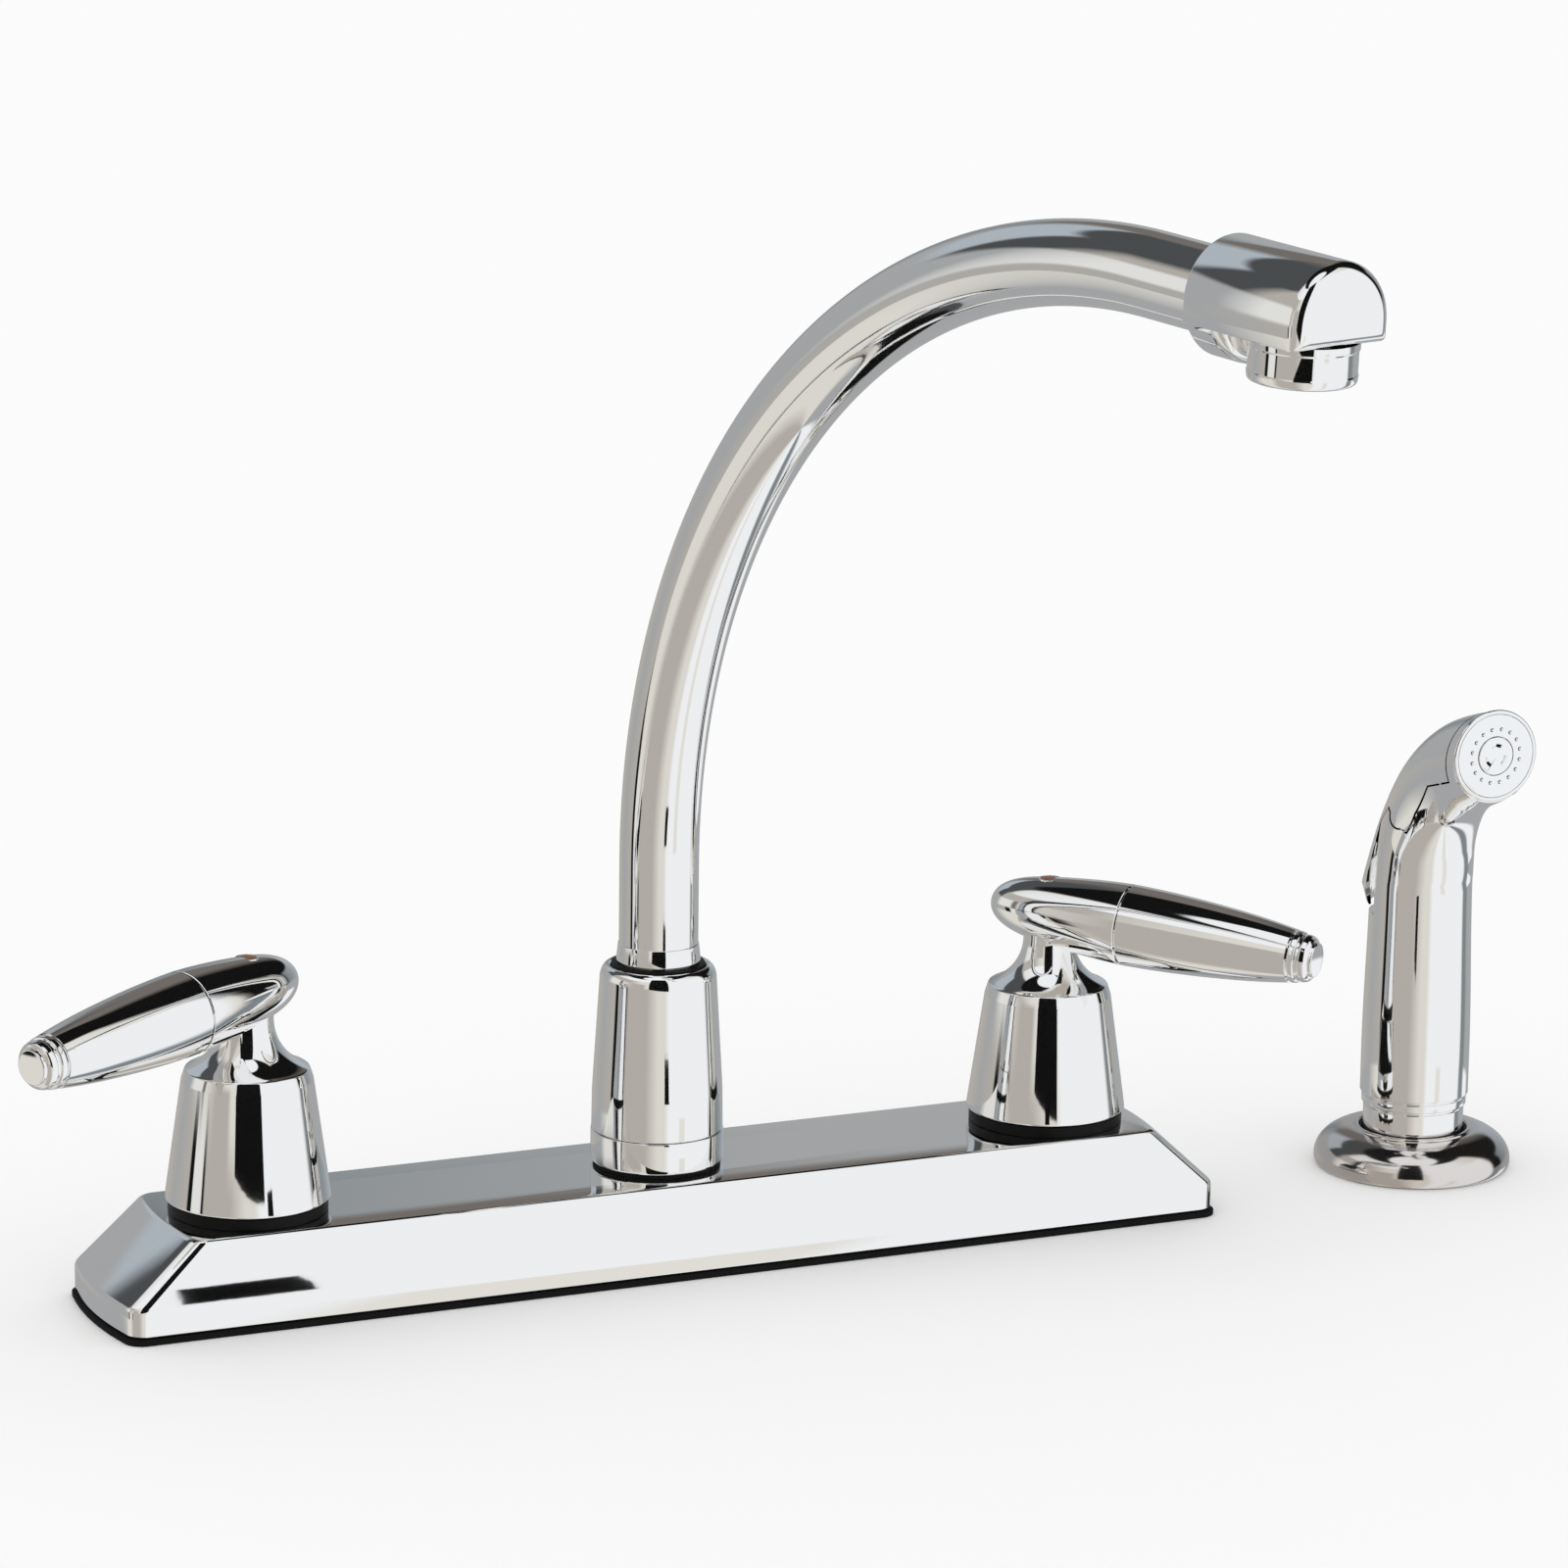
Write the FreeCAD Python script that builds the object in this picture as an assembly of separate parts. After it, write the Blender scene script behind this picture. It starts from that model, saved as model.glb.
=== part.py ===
import FreeCAD, Part
import math
import os

# A two handle kitchen faucet with a tall swivelling spout and a side spray, in millimetres.
# The origin is the middle of the deck plate on the sink deck, +X runs toward the side spray
# and the spout reaches over the sink toward -Y.  Everything below z = 0 is under the deck.

# ---- holes and deck -------------------------------------------------------------------------
hole_pitch = 101.6           # four inch spacing: handles either side of the spout, spray beyond
deck_thickness = 12.7        # thickness of the sink deck that the nuts clamp

# ---- fits -----------------------------------------------------------------------------------
running_clearance = 0.05     # radial clearance of a turning or sliding fit
turning_gap = 0.3            # end gap between a turning part and the part it sits over
assembly_gap = 0.25          # radial gap where one part drops loosely over another

# ---- deck plate and its gasket --------------------------------------------------------------
gasket_thickness = 1.4
gasket_proud = 0.6           # how far the gasket shows beyond the plate's edge
skirt_length = 273.0         # plate length at the corners of its lower edge
skirt_width = 44.2
skirt_height = 6.8           # upright band round the lower edge
top_length = 242.4           # length of the flat top at its corners
top_width = 40.8
plate_height = 22.6          # top of the plate above the deck
end_bow = 2.5                # how far each short end bulges in the middle
top_bow = 2.0                # the same at the flat top
hip_radius = 3.4             # rounding of the four hip corners
plate_wall = 1.6
plate_edge_radius = 0.8

# ---- brass waterway under the plate ---------------------------------------------------------
boss_radius = 13.8           # the three bosses that bear against the plate from below
neck_radius = 12.2           # threaded necks that rise through the plate
arm_radius = 7.0             # cross arms joining the bosses
arm_bore = 4.6
arm_height = 13.4            # height of the arms' centre line above the deck
valve_bore = 9.5             # pocket for the valve cartridge
valve_floor = 8.0            # floor of the pocket above the deck
valve_neck_rise = 6.0        # how far the neck stands above the black ring
socket_depth = 4.2           # depth of the shank socket in the underside of a boss
boss_throat = 6.2            # hole between the shank's socket and the valve pocket
nipple_radius = 6.6          # threaded end of the nipple that feeds the side spray's hose
nipple_thread = 14.0         # length of that thread
nipple_shank_radius = 6.1
nipple_bore = 3.6
nipple_reach = 46.0
foot_rise = 6.6              # seat of the spout's foot above the foot of the base ring

# ---- shanks and nuts below the deck ---------------------------------------------------------
shank_radius = 10.4          # half inch pipe thread
shank_bore = 7.2
shank_reach = 52.0           # lowest end of the shank below the deck surface
relief_width = 2.0           # plain groove in a shank below its locknut
relief_depth = 0.7
nut_corner_trim = 0.65       # taken off the corners of a hexagon nut
nut_thread = 10.0            # height of a locknut
nut_across_flats = 34.0
nut_flange_radius = 19.5
nut_flange_height = 2.2
washer_radius = 19.0
washer_thickness = 1.6

# ---- valve cartridge ------------------------------------------------------------------------
seal_height = 2.6
seal_width = 1.7
seal_gap = 0.2               # room round the seal in its pocket
disc_radius = 8.0
disc_thickness = 2.6
disc_port = 70.0             # angle of each of the two ports in a ceramic disc
disc_web = 2.2               # solid middle of a ceramic disc
disc_rim = 1.2               # solid rim outside the ports
shell_flange = 1.0
stem_radius = 3.9
stem_rise = 9.0              # splined end of the stem above the roof of the bell
spline_teeth = 16
spline_depth = 0.45
bonnet_across_flats = 26.4
bonnet_cap = 2.4
bonnet_gap = 1.0             # room round the stem in the bonnet nut

# ---- handles --------------------------------------------------------------------------------
ring_thickness = 2.7         # black ring between the plate and the bell
ring_radius = 18.4
bell_radius = 19.1
bell_height = 29.0
bell_rim_radius = 15.0
bell_wall = 1.7
bell_roof = 4.0
bell_edge = 0.4              # rounding of the bell's upper rim
bell_corner = 1.0            # bevel inside the crown
flare_radius = 8.0           # trumpet flare between the rim of the bell and the neck
handle_neck_radius = 6.1
lever_rise = 19.55           # lever axis above the rim of the bell
lever_droop = 2.9            # the lever dips by this many degrees toward its tip
lever_back = 14.9            # rounded end behind the axis of the bell
lever_back_radius = 5.8
lever_cheek = 0.3            # fullness of the lever between its back end and the bell's axis
lever_belly = 9.75           # fattest radius of the lever, at its joint line
lever_joint = 20.9           # joint line in front of the axis of the bell
lever_joint_gap = 0.7
lever_joint_depth = 1.0      # depth of the joint line
lever_hub_radius = 8.06      # radius over the axis of the bell
lever_mid = 49.9
lever_mid_radius = 8.14
lever_tip = 69.2
lever_cap_start = 63.2
lever_cap_radius = 6.35
lever_button_radius = 4.1    # small round face on the end of the cap
lever_button_rise = 1.0
lever_spigot_radius = 4.4
cap_plug = 4.0               # plug of the cap inside the sleeve
cap_step = 0.55              # depth of the cap's narrow neck and of its groove
cap_neck = 0.6               # length of that neck
cap_band = 1.1               # length of the band in front of it
cap_groove = 0.9             # width of the groove in front of the band
cap_bevel = 0.3
cap_taper = 0.16             # slope of the sleeve where it meets the cap
left_angle = 27.35           # the left lever points this far forward of straight out
right_angle = 50.44          # the right lever likewise
index_recess_radius = 2.6
index_recess_depth = 1.7
index_button_height = 1.3
index_button_bevel = 0.45
handle_screw_radius = 1.6
handle_screw_head = 2.4
screw_head_height = 3.0
screw_end_gap = 1.0          # room under the end of the screw
screw_socket = 2.5           # hexagon in the screw's head, across flats
screw_socket_floor = 1.0

# ---- spout ----------------------------------------------------------------------------------
hub_seal_thickness = 1.0     # black seal between the plate and the base ring
hub_seal_inset = 0.6
base_ring_radius = 15.6
base_ring_height = 7.7
base_ring_bevel = 0.5
hub_foot_radius = 15.45
hub_waist_radius = 15.3
hub_waist = 9.7              # height over which the hub stays nearly straight
hub_head_radius = 13.7
hub_height = 39.6
hub_shoulder_radius = 11.6   # the flat at the top of the hub
hub_shoulder_height = 3.4
hub_seam = 0.3               # bevels that make the line between the base ring and the hub
tube_radius = 9.27
tube_wall = 1.5
arch_start = 95.4            # height at which the tube starts to bend
arch_radius = 160.5
arch_turn = 92.9             # degrees
arch_run = 17.7              # straight run after the bend, up to the head
spout_azimuth = 14.43        # the spout stands this far round from -Y toward the side spray
foot_radius = 9.9            # sleeve of the spout's foot inside the centre neck
foot_bore = 6.2
foot_length = 15.0
foot_flange_radius = 11.7
foot_flange_height = 6.6
foot_seat = 4.0              # depth of the tube's end in the foot
bearing_wall = 0.9
bearing_lip = 0.7
bearing_lip_radius = 11.2
collar_radius = 9.8
collar_height = 4.2
collar_bevel = 0.25
ring_wire = 1.08             # half thickness of an O-ring
ring_place = 3.5             # lower O-ring above the seat of the foot
ring_pitch = 5.5
diverter_rest = 0.1          # gap under the spool
diverter_radius = 6.4
diverter_length = 13.0
diverter_disc = 2.0
diverter_stem = 2.4

# ---- spout head and aerator -----------------------------------------------------------------
head_radius = 13.06          # domed top, round the centre line of the tube
head_below = 4.64            # depth of the flat underside below that line
head_start = 5.0
head_length = 34.9
head_nose_radius = 3.0
socket_length = 11.0         # round boss behind, where the tube enters
socket_radius = 12.8
socket_end_radius = 3.0
head_chamber = 0.4           # roof of the threaded chamber above the tube's line
head_seal_wall = 1.1         # dark seal in the mouth of the head, round the tube
head_seal_length = 0.8
tube_depth = 10.0            # length of tube inside the head
aerator_place = 28.0         # aerator axis, measured like head_start
aerator_radius = 11.6
aerator_drop = 8.8           # housing below the underside of the head
aerator_thread_radius = 10.6
aerator_thread = 4.0
aerator_wall = 1.4
aerator_lip = 1.0
aerator_lip_height = 0.8
aerator_bevel = 0.3
aerator_grips = 24
grip_depth = 0.35
grip_low = 2.2               # lower end of the grips above the mouth
grip_margin = 1.2            # plain band between the grips and the head
aerator_seal_height = 1.5
aerator_seal_width = 2.2
insert_recess = 1.2          # how far the insert sits inside the mouth
insert_height = 5.0
insert_wall = 1.0
strainer_bars = 5
strainer_bar_width = 0.8
strainer_bar_height = 1.6
strainer_recess = 0.6

# ---- side spray: guide, coupling and body ---------------------------------------------------
guide_flange_radius = 24.2
guide_flange_edge = 0.9
guide_bulge = 1.65           # fullness of the dome beyond a straight cone
guide_height = 10.0
guide_lip_radius = 14.6
guide_wall = 1.0             # from the liner out to the threaded shank
guide_reach = 42.0
liner_wall = 0.7
liner_depth = 24.0
liner_recess = 0.6           # liner below the lip of the flange
liner_bore_gap = 1.6         # room round the coupling below the liner's ledge
spray_seat = 4.0             # height at which the spray body rests in the guide
spray_radius = 12.35
spray_edge = 0.4
spray_band = 0.5             # the band between the grooves is fuller by this much
spray_shoulder = 13.3        # fuller radius above the two grooves
groove_height = 15.8
groove_pitch = 2.7
groove_width = 0.9
groove_depth = 0.45
grip_full_height = 30.0      # the grip starts to draw in here
grip_waist_radius = 12.5
grip_waist = 52.0
coupling_radius = 9.4
coupling_step = 2.0          # shoulder that the body rests on
coupling_above = 8.0
coupling_below = 12.0
coupling_stub_radius = 5.6
coupling_stub = 14.0
coupling_bore = 3.6
coupling_washer_height = 1.2
coupling_washer_gap = 0.2

# ---- side spray: head, lever and valve ------------------------------------------------------
# The neck goes up straight and then bends forward through round sections.  Each step of the
# bend has its rise, its run forward, the tilt that it ends at and the radius of the shell there.
neck_foot = 60.0             # joint between the grip and the neck, above the deck
neck_foot_radius = 12.55
neck_straight = 13.0
neck_radius_low = 12.5
bend_rise_one = 13.0
bend_run_one = 2.6
bend_tilt_one = 24.0
bend_radius_one = 11.9
bend_rise_two = 11.2
bend_run_two = 7.0
bend_tilt_two = 44.0
bend_radius_two = 11.3
bend_rise_three = 8.1
bend_run_three = 10.4
bend_tilt_three = 64.0
bend_radius_three = 11.2
bend_rise_four = 5.6
bend_run_four = 13.8
bend_tilt_four = 90.0
head_shell_radius = 11.25
core_depth = 3.0             # the neck inside the thumb lever is smaller than the shell by this
lever_wall = 1.5
lever_clearance = 0.6        # rest gap between the thumb lever and the neck inside it
thumb_tip_below = 1.5        # the lever's proud tip, below the start of the bend
thumb_tip_radius = 14.5
thumb_tip_bevel = 5.1        # slanted underside of the tip
thumb_end_radius = 12.9
thumb_edge = 1.6             # the lever's side edges start this far behind the grip's axis
thumb_edge_lean = 2.0        # and draw back by this at the tip, so that the slit lets it press
press_room = 2.0             # notch below the lever so that it can dip
slit_width = 4.0
ear_radius = 3.0
pivot_forward = 7.0
pivot_above = 18.0           # the lever's pin, above the start of the bend
pin_radius = 1.4
pin_inset = 1.2              # ends of the pin below the shell's surface
hinge_drop = 3.0             # the lever's lower edge at the pin, below the pin
edge_step = 4.0              # forward and upward steps of the joint line round the pin
edge_step_rise = 4.5
hinge_front = 2.5
hinge_front_drop = 0.5
hinge_reach = 6.0
hinge_reach_rise = 5.0
cheek_back = 13.8            # the joint line on the cheek: behind the face, below its centre
cheek_low = 9.4
ring_low = 6.4
plunger_above_tip = 4.5      # axis of the valve plunger above the lever's tip
plunger_radius = 2.3
plunger_head = 1.4
plunger_head_gap = 0.6
plunger_gap = 0.4            # rest gap between the plunger and the lever's wall
plunger_rest = 0.1
valve_radius = 4.6
valve_length = 7.0
spray_bore = 4.2
throat_length = 14.0
face_radius = 10.2
face_thickness = 2.0
face_gap = 0.3               # room behind the face disc
face_ring_width = 4.5        # front ring of the head, ahead of the lever
face_holes = 16
face_ring_radius = 6.6
face_hole_radius = 0.5
nozzle_radius = 4.7
nozzle_step = 1.0
nozzle_slots = 3
slot_outer = 3.0
slot_inner = 2.2
slot_angle = 60.0
slot_depth = 1.2
nozzle_length = 4.0

# ---- heights that follow from the sizes above -----------------------------------------------
plate_inside = plate_height - plate_wall
ring_top = plate_height + ring_thickness
bell_bottom = ring_top + turning_gap
bell_top = bell_bottom + bell_height
lever_height = bell_top + lever_rise
seal_top = valve_floor + seal_height
fixed_disc_top = seal_top + disc_thickness
turning_disc_top = fixed_disc_top + disc_thickness
valve_neck_top = ring_top + valve_neck_rise
bonnet_top = valve_neck_top + bonnet_cap
aerator_low = -head_below - aerator_drop
insert_low = aerator_low + insert_recess
base_ring_bottom = plate_height + hub_seal_thickness
foot_floor = base_ring_bottom + foot_rise
centre_neck_top = foot_floor + foot_length
flange_top = centre_neck_top + turning_gap + foot_flange_height
hub_bore_top = flange_top + turning_gap
hub_bottom = base_ring_bottom + base_ring_height
hub_top = hub_bottom + hub_height
stem_top = bell_top + stem_rise
lever_top = lever_height + lever_hub_radius
recess_floor = lever_top - index_recess_depth
screw_head_low = recess_floor - screw_head_height
liner_inner = spray_radius + assembly_gap
liner_outer = liner_inner + liner_wall
liner_low = guide_height - liner_depth
guide_shank = liner_outer + guide_wall
spray_x = 2 * hole_pitch
neck_bend = neck_foot + neck_straight
thumb_tip_height = neck_bend - thumb_tip_below
thumb_end = thumb_tip_height - thumb_tip_bevel
pivot_height = neck_bend + pivot_above
plunger_height = thumb_tip_height + plunger_above_tip
head_height = neck_bend + bend_rise_one + bend_rise_two + bend_rise_three + bend_rise_four
head_front = bend_run_one + bend_run_two + bend_run_three + bend_run_four
side_reach = 2 * thumb_tip_radius
overcut = 1.0                # cutting tools run past a face by this much
touch = 0.01                 # edges this close to a plane lie on it

# Stations of the neck: distance in front of the grip's axis, height, tilt, radius of the shell.
neck_sections = [(0.0, neck_foot, 0.0, neck_foot_radius), (0.0, neck_bend, 0.0, neck_radius_low)]
forward = 0.0
height = neck_bend
for rise, run, tilt, radius in ((bend_rise_one, bend_run_one, bend_tilt_one, bend_radius_one),
                                (bend_rise_two, bend_run_two, bend_tilt_two, bend_radius_two),
                                (bend_rise_three, bend_run_three, bend_tilt_three,
                                 bend_radius_three),
                                (bend_rise_four, bend_run_four, bend_tilt_four,
                                 head_shell_radius)):
    forward = forward + run
    height = height + rise
    neck_sections.append((forward, height, tilt, radius))
shell_radii = [section[3] for section in neck_sections]
core_radii = [radius - core_depth for radius in shell_radii]


def point(x, y, z):
    return FreeCAD.Vector(x, y, z)


def rod(radius, low, high, x=0.0):
    """An upright cylinder between two heights."""
    return Part.makeCylinder(radius, high - low, point(x, 0, low))


def sleeve(outer, inner, low, high, x=0.0):
    """An upright tube between two heights."""
    return rod(outer, low, high, x).cut(rod(inner, low, high, x))


def turned(outline, x=0.0):
    """A solid turned about an upright axis.  Each item of the outline is (radius, height) for a
    straight run, (radius, height, radius, height) for an arc through the first pair, or more
    pairs for a smooth curve through them all."""
    edges = []
    start = point(outline[0][0], 0, outline[0][1])
    first = start
    for item in outline[1:]:
        end = point(item[-2], 0, item[-1])
        if len(item) == 4:
            edges.append(Part.Arc(start, point(item[0], 0, item[1]), end).toShape())
        elif len(item) > 4:
            curve = Part.BSplineCurve()
            pairs = zip(item[0::2], item[1::2])
            curve.interpolate([start] + [point(radius, 0, height) for radius, height in pairs])
            edges.append(curve.toShape())
        else:
            edges.append(Part.LineSegment(start, end).toShape())
        start = end
    edges.append(Part.LineSegment(start, first).toShape())
    face = Part.Face(Part.Wire(edges))
    solid = face.revolve(point(0, 0, 0), point(0, 0, 1), 360)
    solid.translate(point(x, 0, 0))
    return solid


def hexagon(across_flats, low, high, x=0.0):
    """An upright six sided prism."""
    radius = across_flats / math.sqrt(3)
    corners = []
    for step in range(7):
        turn = math.radians(60 * step)
        corners.append(point(x + radius * math.cos(turn), radius * math.sin(turn), low))
    return Part.Face(Part.makePolygon(corners)).extrude(point(0, 0, high - low))


def joined(shapes):
    whole = shapes[0]
    for shape in shapes[1:]:
        whole = whole.fuse(shape)
    return whole.removeSplitter()


def save(name, shape):
    """Write one node, as one solid or as a group of separate solids."""
    if not shape.isValid():
        print("NOT VALID", name)
    solids = shape.Solids
    if len(solids) == 1:
        shape = solids[0]
    shape.exportStep("parts/" + name + ".step")
    print(name, len(solids), round(shape.Volume, 1))


# ---- deck plate -----------------------------------------------------------------------------

def bowed_outline(length, width, bow, corner, height):
    """A long rectangle with bowed short ends and rounded corners, at one height."""
    half = length / 2
    side = width / 2
    tilt = math.atan2(bow, side)
    run = corner * math.tan(math.pi / 4 - tilt / 2)
    edges = []
    for turn in (0, 1):
        sign = 1 - 2 * turn
        end_x = half + run * math.sin(2 * tilt)
        end_y = side - run * math.cos(2 * tilt)
        front = point(sign * -(half - run), sign * -side, height)
        corner_in = point(sign * (half - run), sign * -side, height)
        corner_out = point(sign * end_x, sign * -end_y, height)
        back = point(sign * end_x, sign * end_y, height)
        next_in = point(sign * (half - run), sign * side, height)
        inset = run * (1 - math.cos(math.pi / 4))
        near = point(sign * (half - inset), sign * -(side - inset), height)
        far = point(sign * (half - inset), sign * (side - inset), height)
        edges.append(Part.LineSegment(front, corner_in).toShape())
        edges.append(Part.Arc(corner_in, near, corner_out).toShape())
        edges.append(Part.Arc(corner_out, point(sign * (half + bow), 0, height), back).toShape())
        edges.append(Part.Arc(back, far, next_in).toShape())
    return Part.Wire(edges)


def plate_form(inset, low, top, edge_radius):
    """The plate's form, drawn in by a wall thickness and cut off at two heights."""
    skirt_top = gasket_thickness + skirt_height
    lower = bowed_outline(skirt_length - 2 * inset, skirt_width - 2 * inset, end_bow, hip_radius, low)
    middle = bowed_outline(skirt_length - 2 * inset, skirt_width - 2 * inset, end_bow, hip_radius,
                           skirt_top)
    upper = bowed_outline(top_length - 2 * inset, top_width - 2 * inset, top_bow, hip_radius, top)
    skirt = Part.makeLoft([lower, middle], True, True)
    hood = Part.makeLoft([middle, upper], True, True)
    form = skirt.fuse(hood)
    if edge_radius > 0:
        rim = [edge for edge in form.Edges if edge.BoundBox.ZMin > top - touch]
        form = form.makeFillet(edge_radius, rim)
    return form


def deck_plate():
    outside = plate_form(0, gasket_thickness, plate_height, plate_edge_radius)
    inside = plate_form(plate_wall, gasket_thickness - overcut, plate_inside, 0)
    shell = outside.cut(inside)
    for x in (-hole_pitch, 0, hole_pitch):
        shell = shell.cut(rod(neck_radius + assembly_gap, 0, plate_height + overcut, x))
    return shell


def base_gasket():
    outline = bowed_outline(skirt_length + 2 * gasket_proud, skirt_width + 2 * gasket_proud,
                            end_bow, hip_radius, 0)
    sheet = Part.Face(outline).extrude(point(0, 0, gasket_thickness))
    for x in (-hole_pitch, hole_pitch):
        sheet = sheet.cut(rod(shank_radius + assembly_gap, 0, gasket_thickness, x))
    return sheet.cut(rod(nipple_shank_radius + assembly_gap, 0, gasket_thickness))


# ---- waterway, shanks and nuts --------------------------------------------------------------

def waterway_body():
    """One brass casting: two valve bosses and the spout boss, joined by hollow arms."""
    solids = []
    for x in (-hole_pitch, hole_pitch):
        solids.append(rod(boss_radius, gasket_thickness, plate_inside, x))
        solids.append(rod(neck_radius, plate_inside, valve_neck_top, x))
    solids.append(rod(boss_radius, gasket_thickness, plate_inside))
    solids.append(rod(neck_radius, plate_inside, centre_neck_top))
    start = point(-hole_pitch, 0, arm_height)
    solids.append(Part.makeCylinder(arm_radius, 2 * hole_pitch, start, point(1, 0, 0)))
    body = joined(solids)
    socket_top = gasket_thickness + socket_depth
    for x in (-hole_pitch, hole_pitch):
        body = body.cut(rod(shank_radius, gasket_thickness, socket_top, x))
        body = body.cut(rod(boss_throat, socket_top, valve_floor, x))
        body = body.cut(rod(valve_bore, valve_floor, valve_neck_top, x))
    body = body.cut(rod(nipple_shank_radius, gasket_thickness, socket_top))
    body = body.cut(rod(nipple_bore, socket_top, valve_floor))
    body = body.cut(rod(diverter_radius + running_clearance, valve_floor, foot_floor))
    body = body.cut(rod(foot_radius + running_clearance, foot_floor, centre_neck_top))
    body = body.cut(Part.makeCylinder(arm_bore, 2 * hole_pitch, start, point(1, 0, 0)))
    return body


def inlet_shank(x):
    """Threaded inlet with a plain relief groove below the locknut."""
    relief_top = -(deck_thickness + washer_thickness + nut_thread)
    relief_low = relief_top - relief_width
    outline = [(shank_bore, -shank_reach), (shank_radius, -shank_reach), (shank_radius, relief_low),
               (shank_radius - relief_depth, relief_low), (shank_radius - relief_depth, relief_top),
               (shank_radius, relief_top), (shank_radius, gasket_thickness + socket_depth),
               (shank_bore, gasket_thickness + socket_depth)]
    return turned(outline, x)


def spray_nipple():
    """Plain tube into the middle boss, with a fuller threaded end for the hose."""
    top = gasket_thickness + socket_depth
    thread_top = nipple_thread - nipple_reach
    outline = [(nipple_bore, -nipple_reach), (nipple_radius, -nipple_reach),
               (nipple_radius, thread_top), (nipple_shank_radius, thread_top),
               (nipple_shank_radius, top), (nipple_bore, top)]
    return turned(outline)


def deck_washer(x, bore):
    return sleeve(washer_radius, bore + assembly_gap, -deck_thickness - washer_thickness,
                  -deck_thickness, x)


def locknut(x, bore, across_flats, flange_radius):
    """A flanged hexagon nut that clamps from below."""
    top = -deck_thickness - washer_thickness
    low = top - nut_thread
    nut = hexagon(across_flats, low, top - nut_flange_height, x)
    nut = nut.common(rod(across_flats / math.sqrt(3) - nut_corner_trim, low, top, x))
    nut = nut.fuse(rod(flange_radius, top - nut_flange_height, top, x))
    return nut.cut(rod(bore, low, top, x))


# ---- valve cartridges -----------------------------------------------------------------------

def ported_disc(radius, low, high, x, turn):
    """A ceramic disc with two opposite sector ports."""
    disc = rod(radius, low, high, x)
    for side in (0, 180):
        port = Part.makeCylinder(radius - disc_rim, high - low, point(x, 0, low), point(0, 0, 1),
                                 disc_port)
        port = port.cut(rod(disc_web, low, high, x))
        port.rotate(point(x, 0, 0), point(0, 0, 1), turn + side)
        disc = disc.cut(port)
    return disc


def splined_rod(radius, low, high, x):
    corners = []
    for tooth in range(spline_teeth):
        for share, reach in ((0.0, radius), (0.3, radius), (0.5, radius - spline_depth),
                             (0.8, radius - spline_depth)):
            turn = math.radians(360 * (tooth + share) / spline_teeth)
            corners.append(point(x + reach * math.cos(turn), reach * math.sin(turn), low))
    corners.append(corners[0])
    return Part.Face(Part.makePolygon(corners)).extrude(point(0, 0, high - low))


def seat_seal(x):
    outer = disc_radius - seal_gap
    return sleeve(outer, outer - seal_width, valve_floor, seal_top, x)


def fixed_disc(x):
    return ported_disc(disc_radius, seal_top, fixed_disc_top, x, 0)


def cartridge_shell(x):
    """Brass shell that guides the stem and holds the discs down on their seal."""
    bore = disc_radius + running_clearance
    roof = turning_disc_top + running_clearance
    outline = [(bore, seal_top), (valve_bore, seal_top), (valve_bore, valve_neck_top),
               (neck_radius, valve_neck_top), (neck_radius, valve_neck_top + shell_flange),
               (stem_radius + running_clearance, valve_neck_top + shell_flange),
               (stem_radius + running_clearance, roof), (bore, roof)]
    shell = turned(outline, x)
    window = Part.makeBox(2 * valve_bore, 2 * arm_bore, disc_thickness,
                          point(x - valve_bore, -arm_bore, fixed_disc_top))
    return shell.cut(window)


def valve_stem(x):
    disc = ported_disc(disc_radius, fixed_disc_top, turning_disc_top, x, 90)
    plain = rod(stem_radius, turning_disc_top, bonnet_top + turning_gap, x)
    splined = splined_rod(stem_radius, bonnet_top + turning_gap, stem_top, x)
    stem = joined([disc, plain, splined])
    screw_room = rod(handle_screw_radius, stem_top - stem_rise - bell_roof, stem_top, x)
    return stem.cut(screw_room)


def bonnet_nut(x):
    low = ring_top
    top = bonnet_top + shell_flange
    nut = hexagon(bonnet_across_flats, low, top, x)
    nut = nut.common(rod(bonnet_across_flats / math.sqrt(3) - nut_corner_trim, low, top, x))
    nut = nut.cut(rod(neck_radius, low, valve_neck_top + shell_flange, x))
    return nut.cut(rod(stem_radius + bonnet_gap, low, top, x))


def glide_ring(x):
    return sleeve(ring_radius, neck_radius, plate_height, ring_top, x)


# ---- handles --------------------------------------------------------------------------------

def bell_blank(x):
    """Bell, trumpet flare and neck turned as one, hollow below."""
    taper = (bell_radius - bell_rim_radius) / bell_height
    roof = bell_top - bell_roof
    mouth = bell_radius - bell_wall
    crown = bell_rim_radius + taper * bell_roof - bell_wall
    flare_x = handle_neck_radius + flare_radius
    flare_z = bell_top + flare_radius
    turn = math.radians(45)
    middle = (flare_x - flare_radius * math.cos(turn), flare_z - flare_radius * math.sin(turn))
    bulge = bell_edge * (1 - math.cos(turn))
    outline = [(0, roof), (crown - bell_corner, roof), (crown, roof - bell_corner),
               (mouth, bell_bottom), (bell_radius, bell_bottom),
               (bell_rim_radius, bell_top - bell_edge),
               (bell_rim_radius - bulge, bell_top - bulge, bell_rim_radius - bell_edge, bell_top),
               (flare_x, bell_top), (middle[0], middle[1], handle_neck_radius, flare_z),
               (handle_neck_radius, lever_height), (0, lever_height)]
    return turned(outline, x)


def lever_frame(x, angle):
    """Where a lever turned about Z goes: over the bell, dipping toward its tip."""
    turn = math.radians(angle)
    dip = math.radians(lever_droop)
    along = point(math.cos(turn) * math.cos(dip), math.sin(turn) * math.cos(dip), -math.sin(dip))
    return FreeCAD.Placement(point(x, 0, lever_height), FreeCAD.Rotation(point(0, 0, 1), along))


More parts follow.
